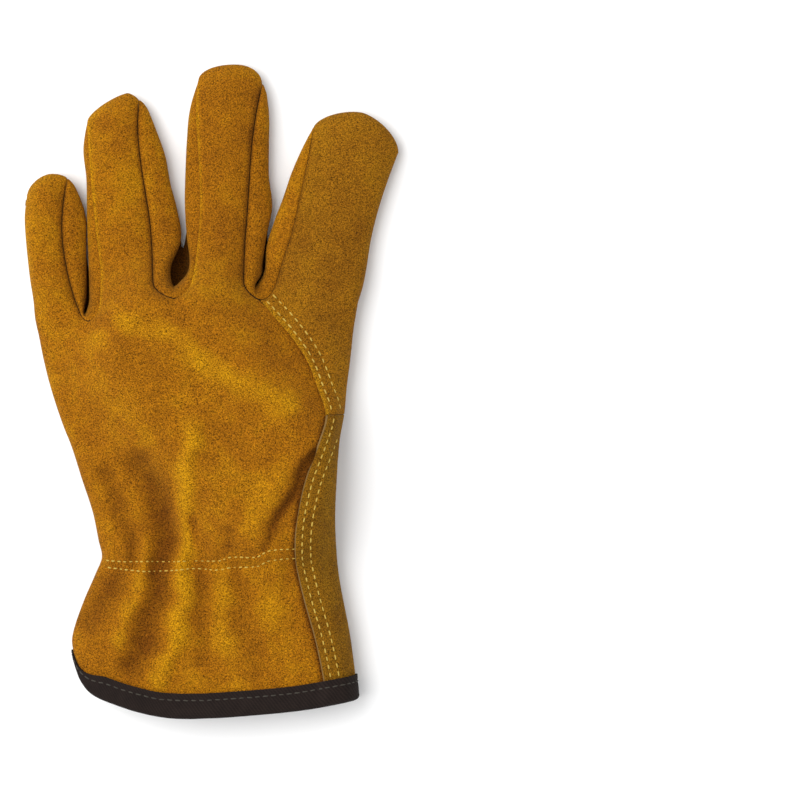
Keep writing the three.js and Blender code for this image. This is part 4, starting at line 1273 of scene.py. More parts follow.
@dataclass
class Fourchette:
    """The strip that makes the facing sides of two fingers: down one, round the web and up the other."""

    glove: Glove
    name: str
    first: Finger
    second: Finger
    turns: int = 18
    last: float = 0.998          # where it ends short of the tips
    web_gap: float = 0.45        # its seams' gap at the web
    roll_share: float = 0.45     # the most of its own width over which its edges roll
    roll_full: float = 3         # the width from which they roll fully
    thin_from: float = 0.93      # from here to the tip it is skived, to this share
    thin: float = 0.6
    tip_from: float = 0.975      # and from here it loses this share more
    tip_thin: float = 0.7
    web_reach: float = 29        # how far up the fingers its slack reaches below the web
    web_tuck: float = 0.7
    web_share: float = 0.62
    web_sag: float = 1.0
    web_dip: float = 0.35        # how much less far it reaches midway, as a share
    web_cells: tuple[int, int] = (24, 8)

    def arm(self, finger: Finger, side: Side, q: float, t: Array) -> tuple[Array, Array, Array]:
        """One arm of the strip.

        Its section is half an ellipse: from the back's seam out to the outline by the sine of the
        turn, and in height from the side seam's to the panels' by the cosine.

        Args:
            finger: the finger whose side it is.
            side: that side.
            q: -1 on the finger's left, 1 on its right.
            t: column of shares of the way to the tip.

        Returns:
            Its points, its walls, and the nap and painted shading of each point.
        """
        leather = self.glove.leather
        turn = math.pi * crowd_ends(self.turns)[None, :]
        over = turn <= math.pi / 2
        back, palm, out = side.seam(t), finger.palm_seam(side, t), finger.outline(side, t)
        out[..., 0] = np.where(t == 0, self.first.web_floor(self.first.right_root)[0], out[..., 0])
        seam = np.where(over[..., None], back, palm)
        away = out - seam
        spread = np.linalg.norm(away, axis=-1)
        gap = np.where(t == 0, self.web_gap, finger.seam_gap(side))
        seam = seam + away * np.minimum(0.5, gap / np.maximum(spread, 0.01))[..., None]
        point = lerp(seam, out, np.sin(turn)[..., None])
        heights = np.where(over, *(finger.height(t, np.full((1, 1), float(q)), face, seam)
                                   for face in (Face.BACK, Face.PALM)))
        z = lerp(finger.side_height(t, out), heights, np.abs(np.cos(turn)))
        reach = np.minimum(leather.roll_reach, self.roll_share * np.maximum(spread, 0.01))
        roll = (quarter_turn(closeness(np.sin(turn) * spread, reach)) * smooth(0, finger.roll_blend, t)
                * np.minimum(1, spread / self.roll_full))
        z = z - np.where(over, 1, -1) * leather.roll * roll * (finger.left_pull if q < 0 else 1)
        wall = leather.fourchette_wall * np.where(t > self.thin_from, self.thin, 1) + 0 * turn
        wall = wall * (1 - self.tip_thin * smooth(self.tip_from, 1, t))
        # painted shade in its seams and near the web, and painted highlight where it turns out to the outline
        tone = (finger.strip_tone if q < 0 else finger.right_tone) * roll ** NAP_AND_SHADING.sharpness
        tone = np.where((np.sin(turn) < 1e-6) & ((q > 0) | (t < finger.web_edge)), finger.right_tone, tone)
        tone = (tone + NAP_AND_SHADING.crotch * (1 - smooth(*NAP_AND_SHADING.crotch_blend, t)) * np.sin(turn)
                + NAP_AND_SHADING.turned * smooth(0.5, 1, np.sin(turn)) * smooth(*NAP_AND_SHADING.arm_blend, t))
        return raised(point, z), wall, tone

    def build(self) -> Piece:
        """Makes the strip's mesh."""
        sheet = Sheet(self.glove.leather)
        down, rise = (finger_ts(round(finger.length / CELL)) for finger in (self.first, self.second))
        arms = (self.arm(self.first, self.first.right, 1, down[down < self.last][::-1, None]),
                self.arm(self.second, self.second.left, -1, rise[rise < self.last][1:, None]))
        points, wall, nap_and_shading = (np.concatenate(pair) for pair in zip(*arms))
        sewn = np.zeros(points.shape[1], bool)
        sewn[[0, -1]] = True
        sheet.patch(points, plumb=sewn[None, :], wall=wall, under=True, nap_and_shading=nap_and_shading)
        # the slack is painted near black: painted shade deep in the gap below the web
        sheet.patch(self.web(), wall=self.glove.leather.fourchette_wall, nap_and_shading=NAP_AND_SHADING.web)
        return sheet.build(self.name, self.glove.shift)

    def web(self) -> Array:
        """The strip's slack under the web, low between the two arms: a grid from arm to arm."""
        arms = ((self.first, self.first.right, 1), (self.second, self.second.left, -1))
        reach = (self.web_reach * even(self.web_cells[0]))[:, None]
        ends = [finger.outline(side, reach / finger.length) - sign * finger.side * self.web_tuck
                for finger, side, sign in arms]
        low, high = (finger.side_height(reach / finger.length, end)
                     for (finger, _, _), end in zip(arms, ends))
        s = even(self.web_cells[1])[None, :]
        slack = np.sin(np.pi * s)
        back = (self.web_dip * reach * slack)[..., None] * (self.first.aim + self.second.aim) / 2
        plan = lerp(ends[0], ends[1], s[..., None]) - back
        return raised(plan, self.web_share * lerp(low, high, s) - self.web_sag * slack)


@dataclass
class ThumbStall:
    """The two halves of the thumb, in its own frame: along from the front of its hole, and aside."""

    glove: Glove
    rows: tuple[int, int] = (56, 80)            # in the back and the front half
    columns: int = 32
    fill: tuple[float, float] = (1.06, 1.12)    # how flat their middles are
    rear_fill: float = 1.04
    taper: float = 0.14
    end_round: float = 2.2
    side_round: float = 2.6
    straight: float = 0.72       # share of the length before the tip's arch
    level_to: float = 0.35       # where the side seam has come down to half height
    tip_from: float = 0.75
    rear_to: float = 0.3

    def half_width(self, along: Array) -> Array:
        """From the hole's rim to half the thumb's width, tapering to the tip."""
        thumb, leather = self.glove.thumb, self.glove.leather
        half = thumb.hole_length / 2
        rim = thumb.hole_width / 2 + leather.wall
        taper = 1 - self.taper * smooth(self.level_to * thumb.length, thumb.length, along)
        return lerp(rim, thumb.width / 2, smooth(-half, half, along)) * taper

    def grid(self, start: Array, q: Array, t: Array) -> Pair:
        """Places along and points of the plan, from a start to the arched tip."""
        thumb, hand = self.glove.thumb, self.glove.hand
        end = thumb.length * (self.straight + (1 - self.straight) * round_over(q, self.end_round))
        along = lerp(start, end, t)
        aside = q * self.half_width(along)
        return along, hand.thumb_front + along[..., None] * thumb.aim + aside[..., None] * thumb.side

    def palm_under(self, point: Array) -> Array:
        """Height of the palm's outer surface above the thumb."""
        return self.glove.hand.palm(*self.glove.hand.place(point))

    def seam(self, along: Array, point: Array) -> Array:
        """Height of the side seam: under the palm's edge at the hole, then halfway up the thumb."""
        thumb, leather = self.glove.thumb, self.glove.leather
        top = self.palm_under(point) - leather.rim_gap - leather.seam_gap
        fall = smooth(-thumb.hole_length / 2, self.level_to * thumb.length, along)
        return lerp(top, thumb.height / 2, fall)

    def back(self) -> Piece:
        """Makes the half that lies against the palm, from the front of the hole."""
        thumb, leather = self.glove.thumb, self.glove.leather
        q, t = both_ends(self.columns)[None, :], even(self.rows[0])[:, None]
        half = thumb.hole_length / 2
        along, point = self.grid(-half + (half + leather.wall) * round_over(q, 2), q, t)
        seam = self.seam(along, point) + leather.seam_gap
        crown = np.minimum(thumb.height, self.palm_under(point) - leather.rim_gap)
        side = np.minimum(1, self.fill[0] * round_over(q, self.side_round)) * round_end(t, self.tip_from)
        at_side = np.abs(q) == 1
        z = np.maximum(seam, lerp(seam, crown, side))
        z = np.where((t == 0) & ~at_side, self.palm_under(point) - leather.rim_gap, z)
        sheet = Sheet(leather)
        sheet.patch(raised(point, z), level=(t == 1) | at_side)
        return sheet.build("glove_thumb_back", self.glove.shift)

    def front(self) -> Piece:
        """Makes the half that lies on the table, from the rear of the hole."""
        thumb, leather = self.glove.thumb, self.glove.leather
        q, t = both_ends(self.columns)[None, :], even(self.rows[1])[:, None]
        half = thumb.hole_length / 2
        along, point = self.grid(-half - (half + leather.wall) * round_over(q, 2), q, t)
        rim = (t == 0) & (np.abs(q) < 1)
        seam = np.where(rim, self.palm_under(point) - leather.rim_gap,
                        self.seam(along, point) - leather.seam_gap / 2)
        rear = round_over(1 - np.clip(t / self.rear_to, 0, 1), 2)
        depth = (np.minimum(1, self.fill[1] * round_over(q, self.side_round))
                 * np.minimum(1, self.rear_fill * rear) * round_end(t, self.tip_from))
        sheet = Sheet(leather)
        ends = (t == 0) | (t == 1)
        sheet.patch(raised(point, seam * (1 - depth)), level=ends | (np.abs(q) == 1), under=True)
        return sheet.build("glove_thumb_front", self.glove.shift)


class HemFrame(NamedTuple):
    """The hem at stations all the way round it, first along the back and then along the palm."""

    edge: Array                  # its points on the hand's surface
    along: Array                 # direction up the surface
    out: Array                   # direction out of it
    over: Array                  # how far a lapping piece lifts the tape there
    palm: Array                  # whether the station is on the palm
    width: Array                 # how much of the tape lies up the glove
    slant: Array                 # how much longer its fold is for the slant there
    slim: Array                  # how much thinner it is pressed there


@dataclass
class CuffBinding:
    """Tape folded over the hem all the way round, pinched along its stitch row."""

    glove: Glove
    width: float = 8
    turn_from: float = -0.02     # from here to here across the hand it slants round the side
    turn_to: float = 0.13
    side_share: float = 0.3      # the share of its width that lies up the glove there
    steepest: float = 0.4        # the most that its section slants, as a sine
    thickness: float = 0.9
    hem_gap: float = 0.8
    tape_gap: float = 0.5
    stations: int = 120          # on each side of the hand
    leg_points: int = 12
    fold_points: int = 12
    inner_short: float = 0.5     # how much lower it ends inside the glove
    lap_ramp: tuple[float, float] = (0.03, 0.005)   # how far before the lap it starts and ends to rise
    stitch_share: float = 0.33   # how far down the tape its stitch row lies
    pinch: float = 0.3
    pinch_reach: float = 0.9
    side_slim: float = 0.5       # how thin it is pressed where it turns round the sides
    slim_left: float = 0.08      # where the left side's turn ends and the right side's starts
    slim_right: float = 0.95
    slim_end: float = 1.02

    def ring(self) -> HemFrame:
        """The hem's frame at each station."""
        hand = self.glove.hand
        across = crowd_ends(self.stations)
        a = np.concatenate([across, across[1:-1][::-1]])
        palm = np.arange(len(a)) >= len(across)
        width = self.width * lerp(self.side_share, 1, smooth(self.turn_from, self.turn_to, a))
        up = width / hand.length_at(a)

        def skin(at: Array) -> Array:
            """Points of the hand's outer surface."""
            return raised(hand.plan(a, at), np.where(palm, hand.palm(a, at), hand.back(a, at)))

        edge, top = skin(0 * a), skin(up)
        run = np.roll(edge, -1, 0) - np.roll(edge, 1, 0)
        along = unit(top - edge)
        square = np.cross(unit(run), along)
        slant = 1 / np.maximum(self.steepest, np.linalg.norm(square, axis=-1))
        lap = float(hand.lap(0.0))
        ramp = smooth(lap - self.lap_ramp[0], lap - self.lap_ramp[1], a)
        over = hand.lap_lift(np.maximum(a, lap), 0 * a) * ramp * ~palm
        turn = smooth(self.turn_from, self.slim_left, a) * (1 - smooth(self.slim_right, self.slim_end, a))
        return HemFrame(edge, along, unit(square), over, palm, width, slant, lerp(self.side_slim, 1, turn))

    def section(self, ring: HemFrame) -> Pair:
        """The tape's closed section, as distance up the skin and distance out of it.

        Outer surface: down the outer leg, round the fold as half an ellipse, up the inner leg. The
        inner surface runs back the same way a tape's thickness further in.

        Args:
            ring: the hem's frame at each station.

        Returns:
            Two arrays, stations by points.
        """
        wall = self.glove.leather.wall
        over, width, slant, slim = (part[:, None] for part in (ring.over, ring.width, ring.slant, ring.slim))
        leg = width * (1 - crowd_high(self.leg_points))
        turn = np.pi * even(self.fold_points)[1:-1]
        pinch = self.pinch * slim * bell(width * (1 - self.stitch_share) - leg, self.pinch_reach)
        outer = over + (self.tape_gap + self.thickness) * slim
        inner = np.full_like(outer, -wall - self.tape_gap - self.thickness)
        runs = []
        for inset, order in ((0.0, 1), (self.thickness, -1)):
            high, low = outer - inset * slim, inner + inset
            depth = (self.hem_gap + self.thickness - inset) * slant
            middle, half = (high + low) / 2, (high - low) / 2
            rising = leg[:, ::-1] - self.inner_short * (leg[:, ::-1] > 0)
            up = np.concatenate([leg, -depth * np.sin(turn), rising], axis=1)
            off = np.concatenate([high - pinch, middle + half * np.cos(turn), low + 0 * rising], axis=1)
            runs.append((up[:, ::order], off[:, ::order]))
        return tuple(np.concatenate(pair, axis=1) for pair in zip(*runs))

    def build(self) -> Piece:
        """Makes the tape's mesh, with its length and girth as a UV map."""
        ring = self.ring()
        up, off = self.section(ring)
        points = (ring.edge[:, None] + up[..., None] * ring.along[:, None]
                  + off[..., None] * ring.out[:, None])
        n, m = points.shape[:2]
        index = np.arange(n * m).reshape(n, m)
        right, below = np.roll(index, -1, 1), np.roll(index, -1, 0)
        triangles = split(index, right, np.roll(below, -1, 1), below)
        length = walked(ring.edge)
        middle = n // 4
        steps = (np.abs(np.diff(run[middle], prepend=run[middle, 0])) for run in (up, off))
        girth = np.cumsum(sum(steps))
        uv = stack(length[:, None], girth[None, :]).reshape(-1, 2) * MM
        return make_object("cuff_tape", points.reshape(-1, 3), triangles, self.glove.shift, uv=uv)

    def stitch_path(self, palm: bool) -> Pair:
        """Points of the tape's stitch row on one side of the hand, and their normals."""
        ring = self.ring()
        here = ring.palm == palm
        off = ring.over + (self.tape_gap + self.thickness - self.pinch) * ring.slim
        up = ring.width * (1 - self.stitch_share)
        points = ring.edge + up[:, None] * ring.along + off[:, None] * ring.out
        return points[here], ring.out[here]


@dataclass
class Stitching:
    """Rows of lockstitch: short thread humps, pitch apart, each with its ends drawn into the piece."""

    glove: Glove
    name: str
    pitch: float = 3.1
    length: float = 2.2
    radius: float = 0.28
    hump: float = 0.22
    flat: float = 0.8            # how much lower than wide its section is
    sunk: float = 0.12           # how deep it lies in the leather
    tilt: float = 0.05           # spread of its slant in the row
    lengths: tuple[float, float] = (0.88, 1.06)
    thicknesses: tuple[float, float] = (0.9, 1.1)
    look: float = 0.4            # how far to each side of a stitch its direction is taken
    sections: int = 5
    sides: int = 6
    seed: int = 7
    rows: list[tuple[Array, Array, float]] = field(default_factory=list)

    def add(self, points: Array, normals: Array, scale: float = 1) -> None:
        """Adds a row that runs through points, with the surface's normals there and its stitches' scale."""
        self.rows.append((points, normals, scale))

    def build(self) -> Piece:
        """Makes all the stitches as one mesh.

        A stitch is a tube along s in -1..1, with radius r (1 - s^4)^(1/2) and its middle line at the
        height hump (1 - s^2), each stitch tilted and sized a little by its own seeded draw.
        """
        rng = np.random.default_rng(self.seed)
        s = np.linspace(-1, 1, self.sections + 2)
        turn = 2 * np.pi * np.arange(self.sides) / self.sides
        swell = np.sqrt(1 - s ** 4)
        every = []
        for points, normals, scale in self.rows:
            walk = walked(points)
            count = max(1, int(walk[-1] / (self.pitch * scale)))
            at = (np.arange(count) + 0.5) * walk[-1] / count

            def along(values: Array, where: Array) -> Array:
                """Values of the row at distances along it."""
                return np.stack([np.interp(where, walk, values[:, k]) for k in range(3)], -1)

            centre, normal = along(points, at), unit(along(normals, at))
            run = unit(along(points, at + self.look) - along(points, at - self.look))
            side = unit(np.cross(normal, run))
            run = unit(run + side * rng.normal(0, self.tilt, (count, 1)))
            half = scale * self.length / 2 * rng.uniform(*self.lengths, (count, 1, 1, 1))
            ring = swell[None, :, None, None] * self.radius * rng.uniform(*self.thicknesses, (count, 1, 1, 1))
            bow = (self.hump * (1 - s ** 2) - self.sunk)[None, :, None, None]
            across, rise = ring * np.cos(turn)[:, None], self.flat * ring * np.sin(turn)[:, None] + bow
            every.append(centre[:, None, None] + s[None, :, None, None] * half * run[:, None, None]
                         + across * side[:, None, None] + rise * normal[:, None, None])
        points = np.concatenate(every)
        index = np.arange(points.size // 3).reshape(points.shape[:3])
        index[:, 0] = index[:, 0, :1]
        index[:, -1] = index[:, -1, :1]
        a, d = index[:, :-1], index[:, 1:]
        triangles = split(a, d, np.roll(d, -1, 2), np.roll(a, -1, 2))
        used, triangles = used_points(triangles, index.size)
        return make_object(self.name, points.reshape(-1, 3)[used], triangles, self.glove.shift)


def lap_path(glove: Glove, start: float, end: float, off: float) -> Pair:
    """A stitch row on a lapping piece.

    Args:
        glove: the glove.
        start: where it starts, as a share of the hand's length.
        end: where it ends.
        off: its distance from the lapped edge, square to it.

    Returns:
        Points on the outer surface and the normals there.
    """
    hand = glove.hand
    up = np.linspace(start, end, PATH_POINTS)
    run = unit(hand.lap_run(up))
    plan = hand.plan(hand.lap(up), up) + off * stack(run[:, 1], -run[:, 0])
    across, at = hand.place(plan)
    plan = plan[(1 - across) * hand.width_at(at) > ROW_MARGIN]
    return over_surface(hand, plan, glove.lapping_height)


def elastic_path(glove: Glove, name: str) -> Pair:
    """One elastic stitch row across the back, by the name of its column."""
    hand = glove.hand
    x = hand.palm_width * np.linspace(ELASTIC_ROWS[0].across, ELASTIC_ROWS[-1].across, ELASTIC_POINTS)
    plan = stack(x, glove.elastic_line(name, x))
    across, up = hand.place(plan)
    shown = (across > ELASTIC_FROM) & (hand.past_lap(across, up) < ELASTIC_UNDER)
    return over_surface(hand, plan[shown], glove.back_height)


def seam_rows(glove: Glove) -> Stitching:
    """The rows along the lapped seam, broken at the short seam, and the finer elastic rows."""
    seams = Stitching(glove, "seam_stitches")
    turn = glove.hand.short_seam
    for off in STRIP_ROWS:
        seams.add(*lap_path(glove, ROW_START, turn - ROW_BREAK, off))
    for off in WRAP_ROWS:
        seams.add(*lap_path(glove, turn + ROW_BREAK, ROW_END, off))
    for name in ELASTIC_NAMES:
        seams.add(*elastic_path(glove, name), scale=ELASTIC_STITCH)
    return seams


def over_surface(hand: Hand, plan: Array, height: Callable[[Array, Array], Array],
                 step: float = 0.4) -> Pair:
    """Points of a surface of the hand over points of the plan, and its normals.

    Args:
        hand: the hand.
        plan: the points.
        height: the surface's height at places (across, up).
        step: how far to each side its slope is taken.

    Returns:
        Points, and normals (-dz/dx, -dz/dy, 1) made one long.
    """

    def z(dx: float, dy: float) -> Array:
        """Height beside each point."""
        return height(*hand.place(plan + (dx, dy)))

    slopes = ((z(step, 0) - z(-step, 0)) / (2 * step), (z(0, step) - z(0, -step)) / (2 * step))
    return raised(plan, z(0, 0)), unit(stack(-slopes[0], -slopes[1], np.ones(len(plan))))


# Finishes


class Socket:
    """A node's output, with shader maths written as Python expressions."""

    def __init__(self, nodes: "Nodes", socket: bpy.types.NodeSocket) -> None:
        """Wraps one output of a tree."""
        self.nodes = nodes
        self.socket = socket

    def _math(self, operation: str, a: "Number", b: "Number") -> "Socket":
        """One Math node."""
        return self.nodes.add("ShaderNodeMath", {"operation": operation}, {0: a, 1: b})

    def __add__(self, other: "Number") -> "Socket":
        """self + other."""
        return self._math("ADD", self, other)

    def __sub__(self, other: "Number") -> "Socket":
        """self - other."""
        return self._math("SUBTRACT", self, other)

    def __rsub__(self, other: "Number") -> "Socket":
        """other - self."""
        return self._math("SUBTRACT", other, self)

    def __mul__(self, other: "Number") -> "Socket":
        """self times other."""
        return self._math("MULTIPLY", self, other)

    __radd__ = __add__
    __rmul__ = __mul__


Number = Socket | float


class Nodes:
    """The node tree of one material."""

    def __init__(self, name: str) -> None:
        """Makes the material with an empty tree."""
        self.material = bpy.data.materials.new(name)
        self.material.use_nodes = True
        self.tree = self.material.node_tree
        self.tree.nodes.clear()

    def add(self, kind: str, settings: Optional[dict] = None, inputs: Optional[dict] = None,
            output: int | str = 0) -> Socket:
        """Adds a node.

        Args:
            kind: the node's type.
            settings: its own settings, set first; "stops" gives a colour ramp's stops.
            inputs: values or sockets for its inputs, by name or number.
            output: which output is given back.

        Returns:
            That output.
        """
        node = self.tree.nodes.new(kind)
        for key, value in (settings or {}).items():
            if key == "stops":
                self.set_stops(node.color_ramp, value)
            else:
                setattr(node, key, value)
        for key, value in (inputs or {}).items():
            if isinstance(value, Socket):
                self.tree.links.new(value.socket, node.inputs[key])
            else:
                node.inputs[key].default_value = value
        return Socket(self, node.outputs[output])

    @staticmethod
    def set_stops(ramp: bpy.types.ColorRamp, stops: Sequence[tuple[float, Colour]]) -> None:
        """Puts (place, colour) stops on a ramp."""
        while len(ramp.elements) < len(stops):
            ramp.elements.new(1)
        for element, (place, colour) in zip(ramp.elements, stops):
            element.position = place
            element.color = (*colour, 1)

    def coordinates(self, kind: str = "Object") -> Socket:
        """Texture coordinates of a kind."""
        return self.add("ShaderNodeTexCoord", output=kind)

    def nap_and_shading(self) -> Socket:
        """How much lighter or darker the suede is painted, for the lie of its nap and as painted highlight
        and shade, from the attribute of that name.
        """
        return self.add("ShaderNodeAttribute", {"attribute_name": "nap_and_shading"}, output="Fac")

    def remap(self, value: Socket, low: float, high: float, to_low: float, to_high: float) -> Socket:
        """A value's range low to high taken to another, and held at its ends."""
        return self.add("ShaderNodeMapRange", {"clamp": True},
                        {0: value, 1: low, 2: high, 3: to_low, 4: to_high})

    def wave(self, at: Socket, axis: str, bands: float, bend: float, detail: float,
             size: float = 1) -> Socket:
        """A wave from 0 to 1, bands to a metre along an axis, bent by a noise of this detail and size."""
        return self.add("ShaderNodeTexWave", {"bands_direction": axis}, {
            "Vector": at, "Scale": bands * math.pi / 10, "Distortion": bend, "Detail": detail,
            "Detail Scale": size}, output=1)

    def noise(self, coordinates: Socket, scale: float, detail: float = 2, rough: float = 0.5) -> Socket:
        """Noise from 0 to 1, scale cells to a metre."""
        return self.add("ShaderNodeTexNoise", None, {
            "Vector": coordinates, "Scale": scale, "Detail": detail, "Roughness": rough})

    def mix(self, share: Number, a: Socket | tuple, b: Socket | tuple, blend: str = "MIX") -> Socket:
        """A colour mixed from a to b."""
        a, b = ((*c, 1) if isinstance(c, tuple) and len(c) == 3 else c for c in (a, b))
        return self.add("ShaderNodeMix", {"data_type": "RGBA", "blend_type": blend},
                        {0: share, 6: a, 7: b}, output=2)

    def grey(self, value: Socket) -> Socket:
        """A value as a colour."""
        return self.add("ShaderNodeCombineColor", None, {0: value, 1: value, 2: value})

    def bump(self, height: Socket, strength: float, distance: float) -> Socket:
        """A normal from a height, distance metres high."""
        return self.add("ShaderNodeBump", None,
                        {"Height": height, "Strength": strength, "Distance": distance})

    def finish(self, **inputs: Number | tuple) -> Material:
        """Ends the tree in a Principled shader with these inputs; underscores stand for spaces."""
        named = {key.replace("_", " "): value for key, value in inputs.items()}
        shader = self.add("ShaderNodeBsdfPrincipled", None, named)
        out = self.tree.nodes.new("ShaderNodeOutputMaterial")
        self.tree.links.new(shader.socket, out.inputs["Surface"])
        return self.material


@dataclass(frozen=True)
class Suede:
    """Brushed split suede: mottled dye, short nap lying both ways, and painted shade in its seams and folds
    with painted highlight on ridges and turned edges.
    """

    name: str
    deep: Colour = (0.160, 0.050, 0.003)
    middle: Colour = (0.262, 0.096, 0.003)
    light: Colour = (0.375, 0.170, 0.003)
    patch_scale: float = 34
    mottle_scale: float = 120
    grain_scale: float = 1900
    fibre_scale: float = 3900
    shade: float = 0.30          # how much darker the painted shade makes it, where the attribute is below 0
    grain_height: float = 0.0006
    patch_share: float = 0.6     # shares of the tone
    mottle_share: float = 0.7
    nap_and_shading_share: float = 0.4
    grain_contrast: float = 3.9
    fibre_contrast: float = 3.6
    darkest: float = 0.08
    full_shade_at: float = -2.0      # the attribute's value at which the painted shade darkens it by twice the shade

    def material(self) -> Material:
        """The node material.

        The tone is 0.5 plus shares of two noises and the nap attribute, with its painted highlight and shade,
        and picks the dye's colour. Two finer noises make the nap's speckle, and with the mottle its bump;
        below 0 the attribute darkens the colour further as painted shade.
        """
        n = Nodes(self.name)
        at = n.coordinates()
        nap_and_shading = n.nap_and_shading()
        patch = n.noise(at, self.patch_scale, 3)
        mottle = n.noise(at, self.mottle_scale, 4, 0.6)
        grain = n.noise(at, self.grain_scale, 3, 0.65)
        fibre = n.noise(at, self.fibre_scale, 2, 0.6)
        tone = (0.5 + (patch - 0.5) * self.patch_share + (mottle - 0.5) * self.mottle_share
                + nap_and_shading * self.nap_and_shading_share)
        stops = ((0.12, self.deep), (0.5, self.middle), (0.9, self.light))
        dye = n.add("ShaderNodeValToRGB", {"stops": stops}, {0: tone})
        speckle = 1.0 + (grain - 0.5) * self.grain_contrast + (fibre - 0.5) * self.fibre_contrast
        # painted shade: darker where the attribute is below 0
        painted_shade = n.remap(nap_and_shading, self.full_shade_at, 0.0, 1 - 2 * self.shade, 1.0)
        bright = n.add("ShaderNodeMath", {"operation": "MAXIMUM"}, {0: speckle * painted_shade, 1: self.darkest})
        colour = n.mix(1.0, dye, n.grey(bright), "MULTIPLY")
        normal = n.bump(grain * 0.7 + fibre * 0.4 + mottle * 0.5, 0.75, self.grain_height)
        return n.finish(Base_Color=colour, Roughness=0.95, Specular_IOR_Level=0.06, Sheen_Weight=0.08,
                        Sheen_Roughness=0.45, Sheen_Tint=(1.0, 0.75, 0.2, 1), Normal=normal)


@dataclass(frozen=True)
class CutEdge:
    """The raw edge of the split leather, paler and greyer than its faces."""

    name: str = "cut_edge"
    pale: Colour = (0.23, 0.145, 0.05)
    dark: Colour = (0.14, 0.07, 0.016)
    brushed: Colour = (0.33, 0.14, 0.004)    # where a raised seam turns it into the nap
    fibre_scale: float = 1400

    def material(self) -> Material:
        """The node material: fibres of two tones, darkened by painted shade in a sewn seam and brushed over
        on a raised one.
        """
        n = Nodes(self.name)
        at = n.coordinates()
        fibre = n.noise(at, self.fibre_scale, 3, 0.6)
        nap_and_shading = n.nap_and_shading()
        # painted shade in a sewn seam's gap
        sewn = n.remap(nap_and_shading, -0.7, -0.1, 0.12, 1.0)
        brushed = n.remap(nap_and_shading, 0.05, 0.4, 0.0, 1.0)
        colour = n.mix(1.0, n.mix(fibre, self.dark, self.pale), n.grey(sewn), "MULTIPLY")
        colour = n.mix(brushed, colour, self.brushed)
        return n.finish(Base_Color=colour, Roughness=0.95, Specular_IOR_Level=0.1,
                        Normal=n.bump(fibre, 0.6, 0.0003))


@dataclass(frozen=True)
class Tape:
    """Dark cotton tape with a fine cross rib."""

    name: str = "cuff_tape"
    dark: Colour = (0.004, 0.003, 0.003)
    light: Colour = (0.026, 0.017, 0.014)
    ribs: float = 900            # to a metre across the twill
    picks: float = 1600          # to a metre across the tape
    slant: float = math.radians(32)
    wear_scale: float = 260

    def material(self) -> Material:
        """The node material: two waves at an angle over the tape's own map make the twill."""
        n = Nodes(self.name)
        at = n.coordinates("UV")
        twill = n.add("ShaderNodeMapping", None, {"Vector": at, "Rotation": (0, 0, self.slant)})
        rib = n.wave(twill, "X", self.ribs, 1.2, 2, 1.5)
        pick = n.wave(at, "Y", self.picks, 0.8, 1)
        wear = n.noise(n.coordinates(), self.wear_scale, 4, 0.6)
        weave = rib * 0.6 + pick * 0.4
        colour = n.mix(weave * 0.5 + wear * 0.5, self.dark, self.light)
        return n.finish(Base_Color=colour, Roughness=0.9, Specular_IOR_Level=0.1,
                        Normal=n.bump(weave, 0.7, 0.00025))


@dataclass(frozen=True)
class Thread:
    """Spun thread, darker where it is rubbed."""

    name: str
    rubbed: Colour
    clean: Colour
    soil_scale: float = 110
    fibre_scale: float = 3200

    def material(self) -> Material:
        """The node material: two tones of fine fibre."""
        n = Nodes(self.name)
        at = n.coordinates()
        soil, fibre = n.noise(at, self.soil_scale, 3), n.noise(at, self.fibre_scale)
        colour = n.mix(soil * 0.8 + fibre * 0.4, self.rubbed, self.clean)
        return n.finish(Base_Color=colour, Roughness=0.7, Specular_IOR_Level=0.25,
                        Normal=n.bump(fibre, 0.5, 0.0002))


@dataclass(frozen=True)
class Floor:
    """A plain pale table top."""

    name: str = "pale_floor"
    colour: Colour = (0.92, 0.92, 0.92)

    def material(self) -> Material:
        """The node material: a faint change of tone."""
        n = Nodes(self.name)
        at = n.coordinates()
        tone = n.noise(at, 3, 2)
        colour = n.mix(tone * 0.2, self.colour, tuple(0.97 * c for c in self.colour))
        return n.finish(Base_Color=colour, Roughness=0.9, Specular_IOR_Level=0.1)


# The view


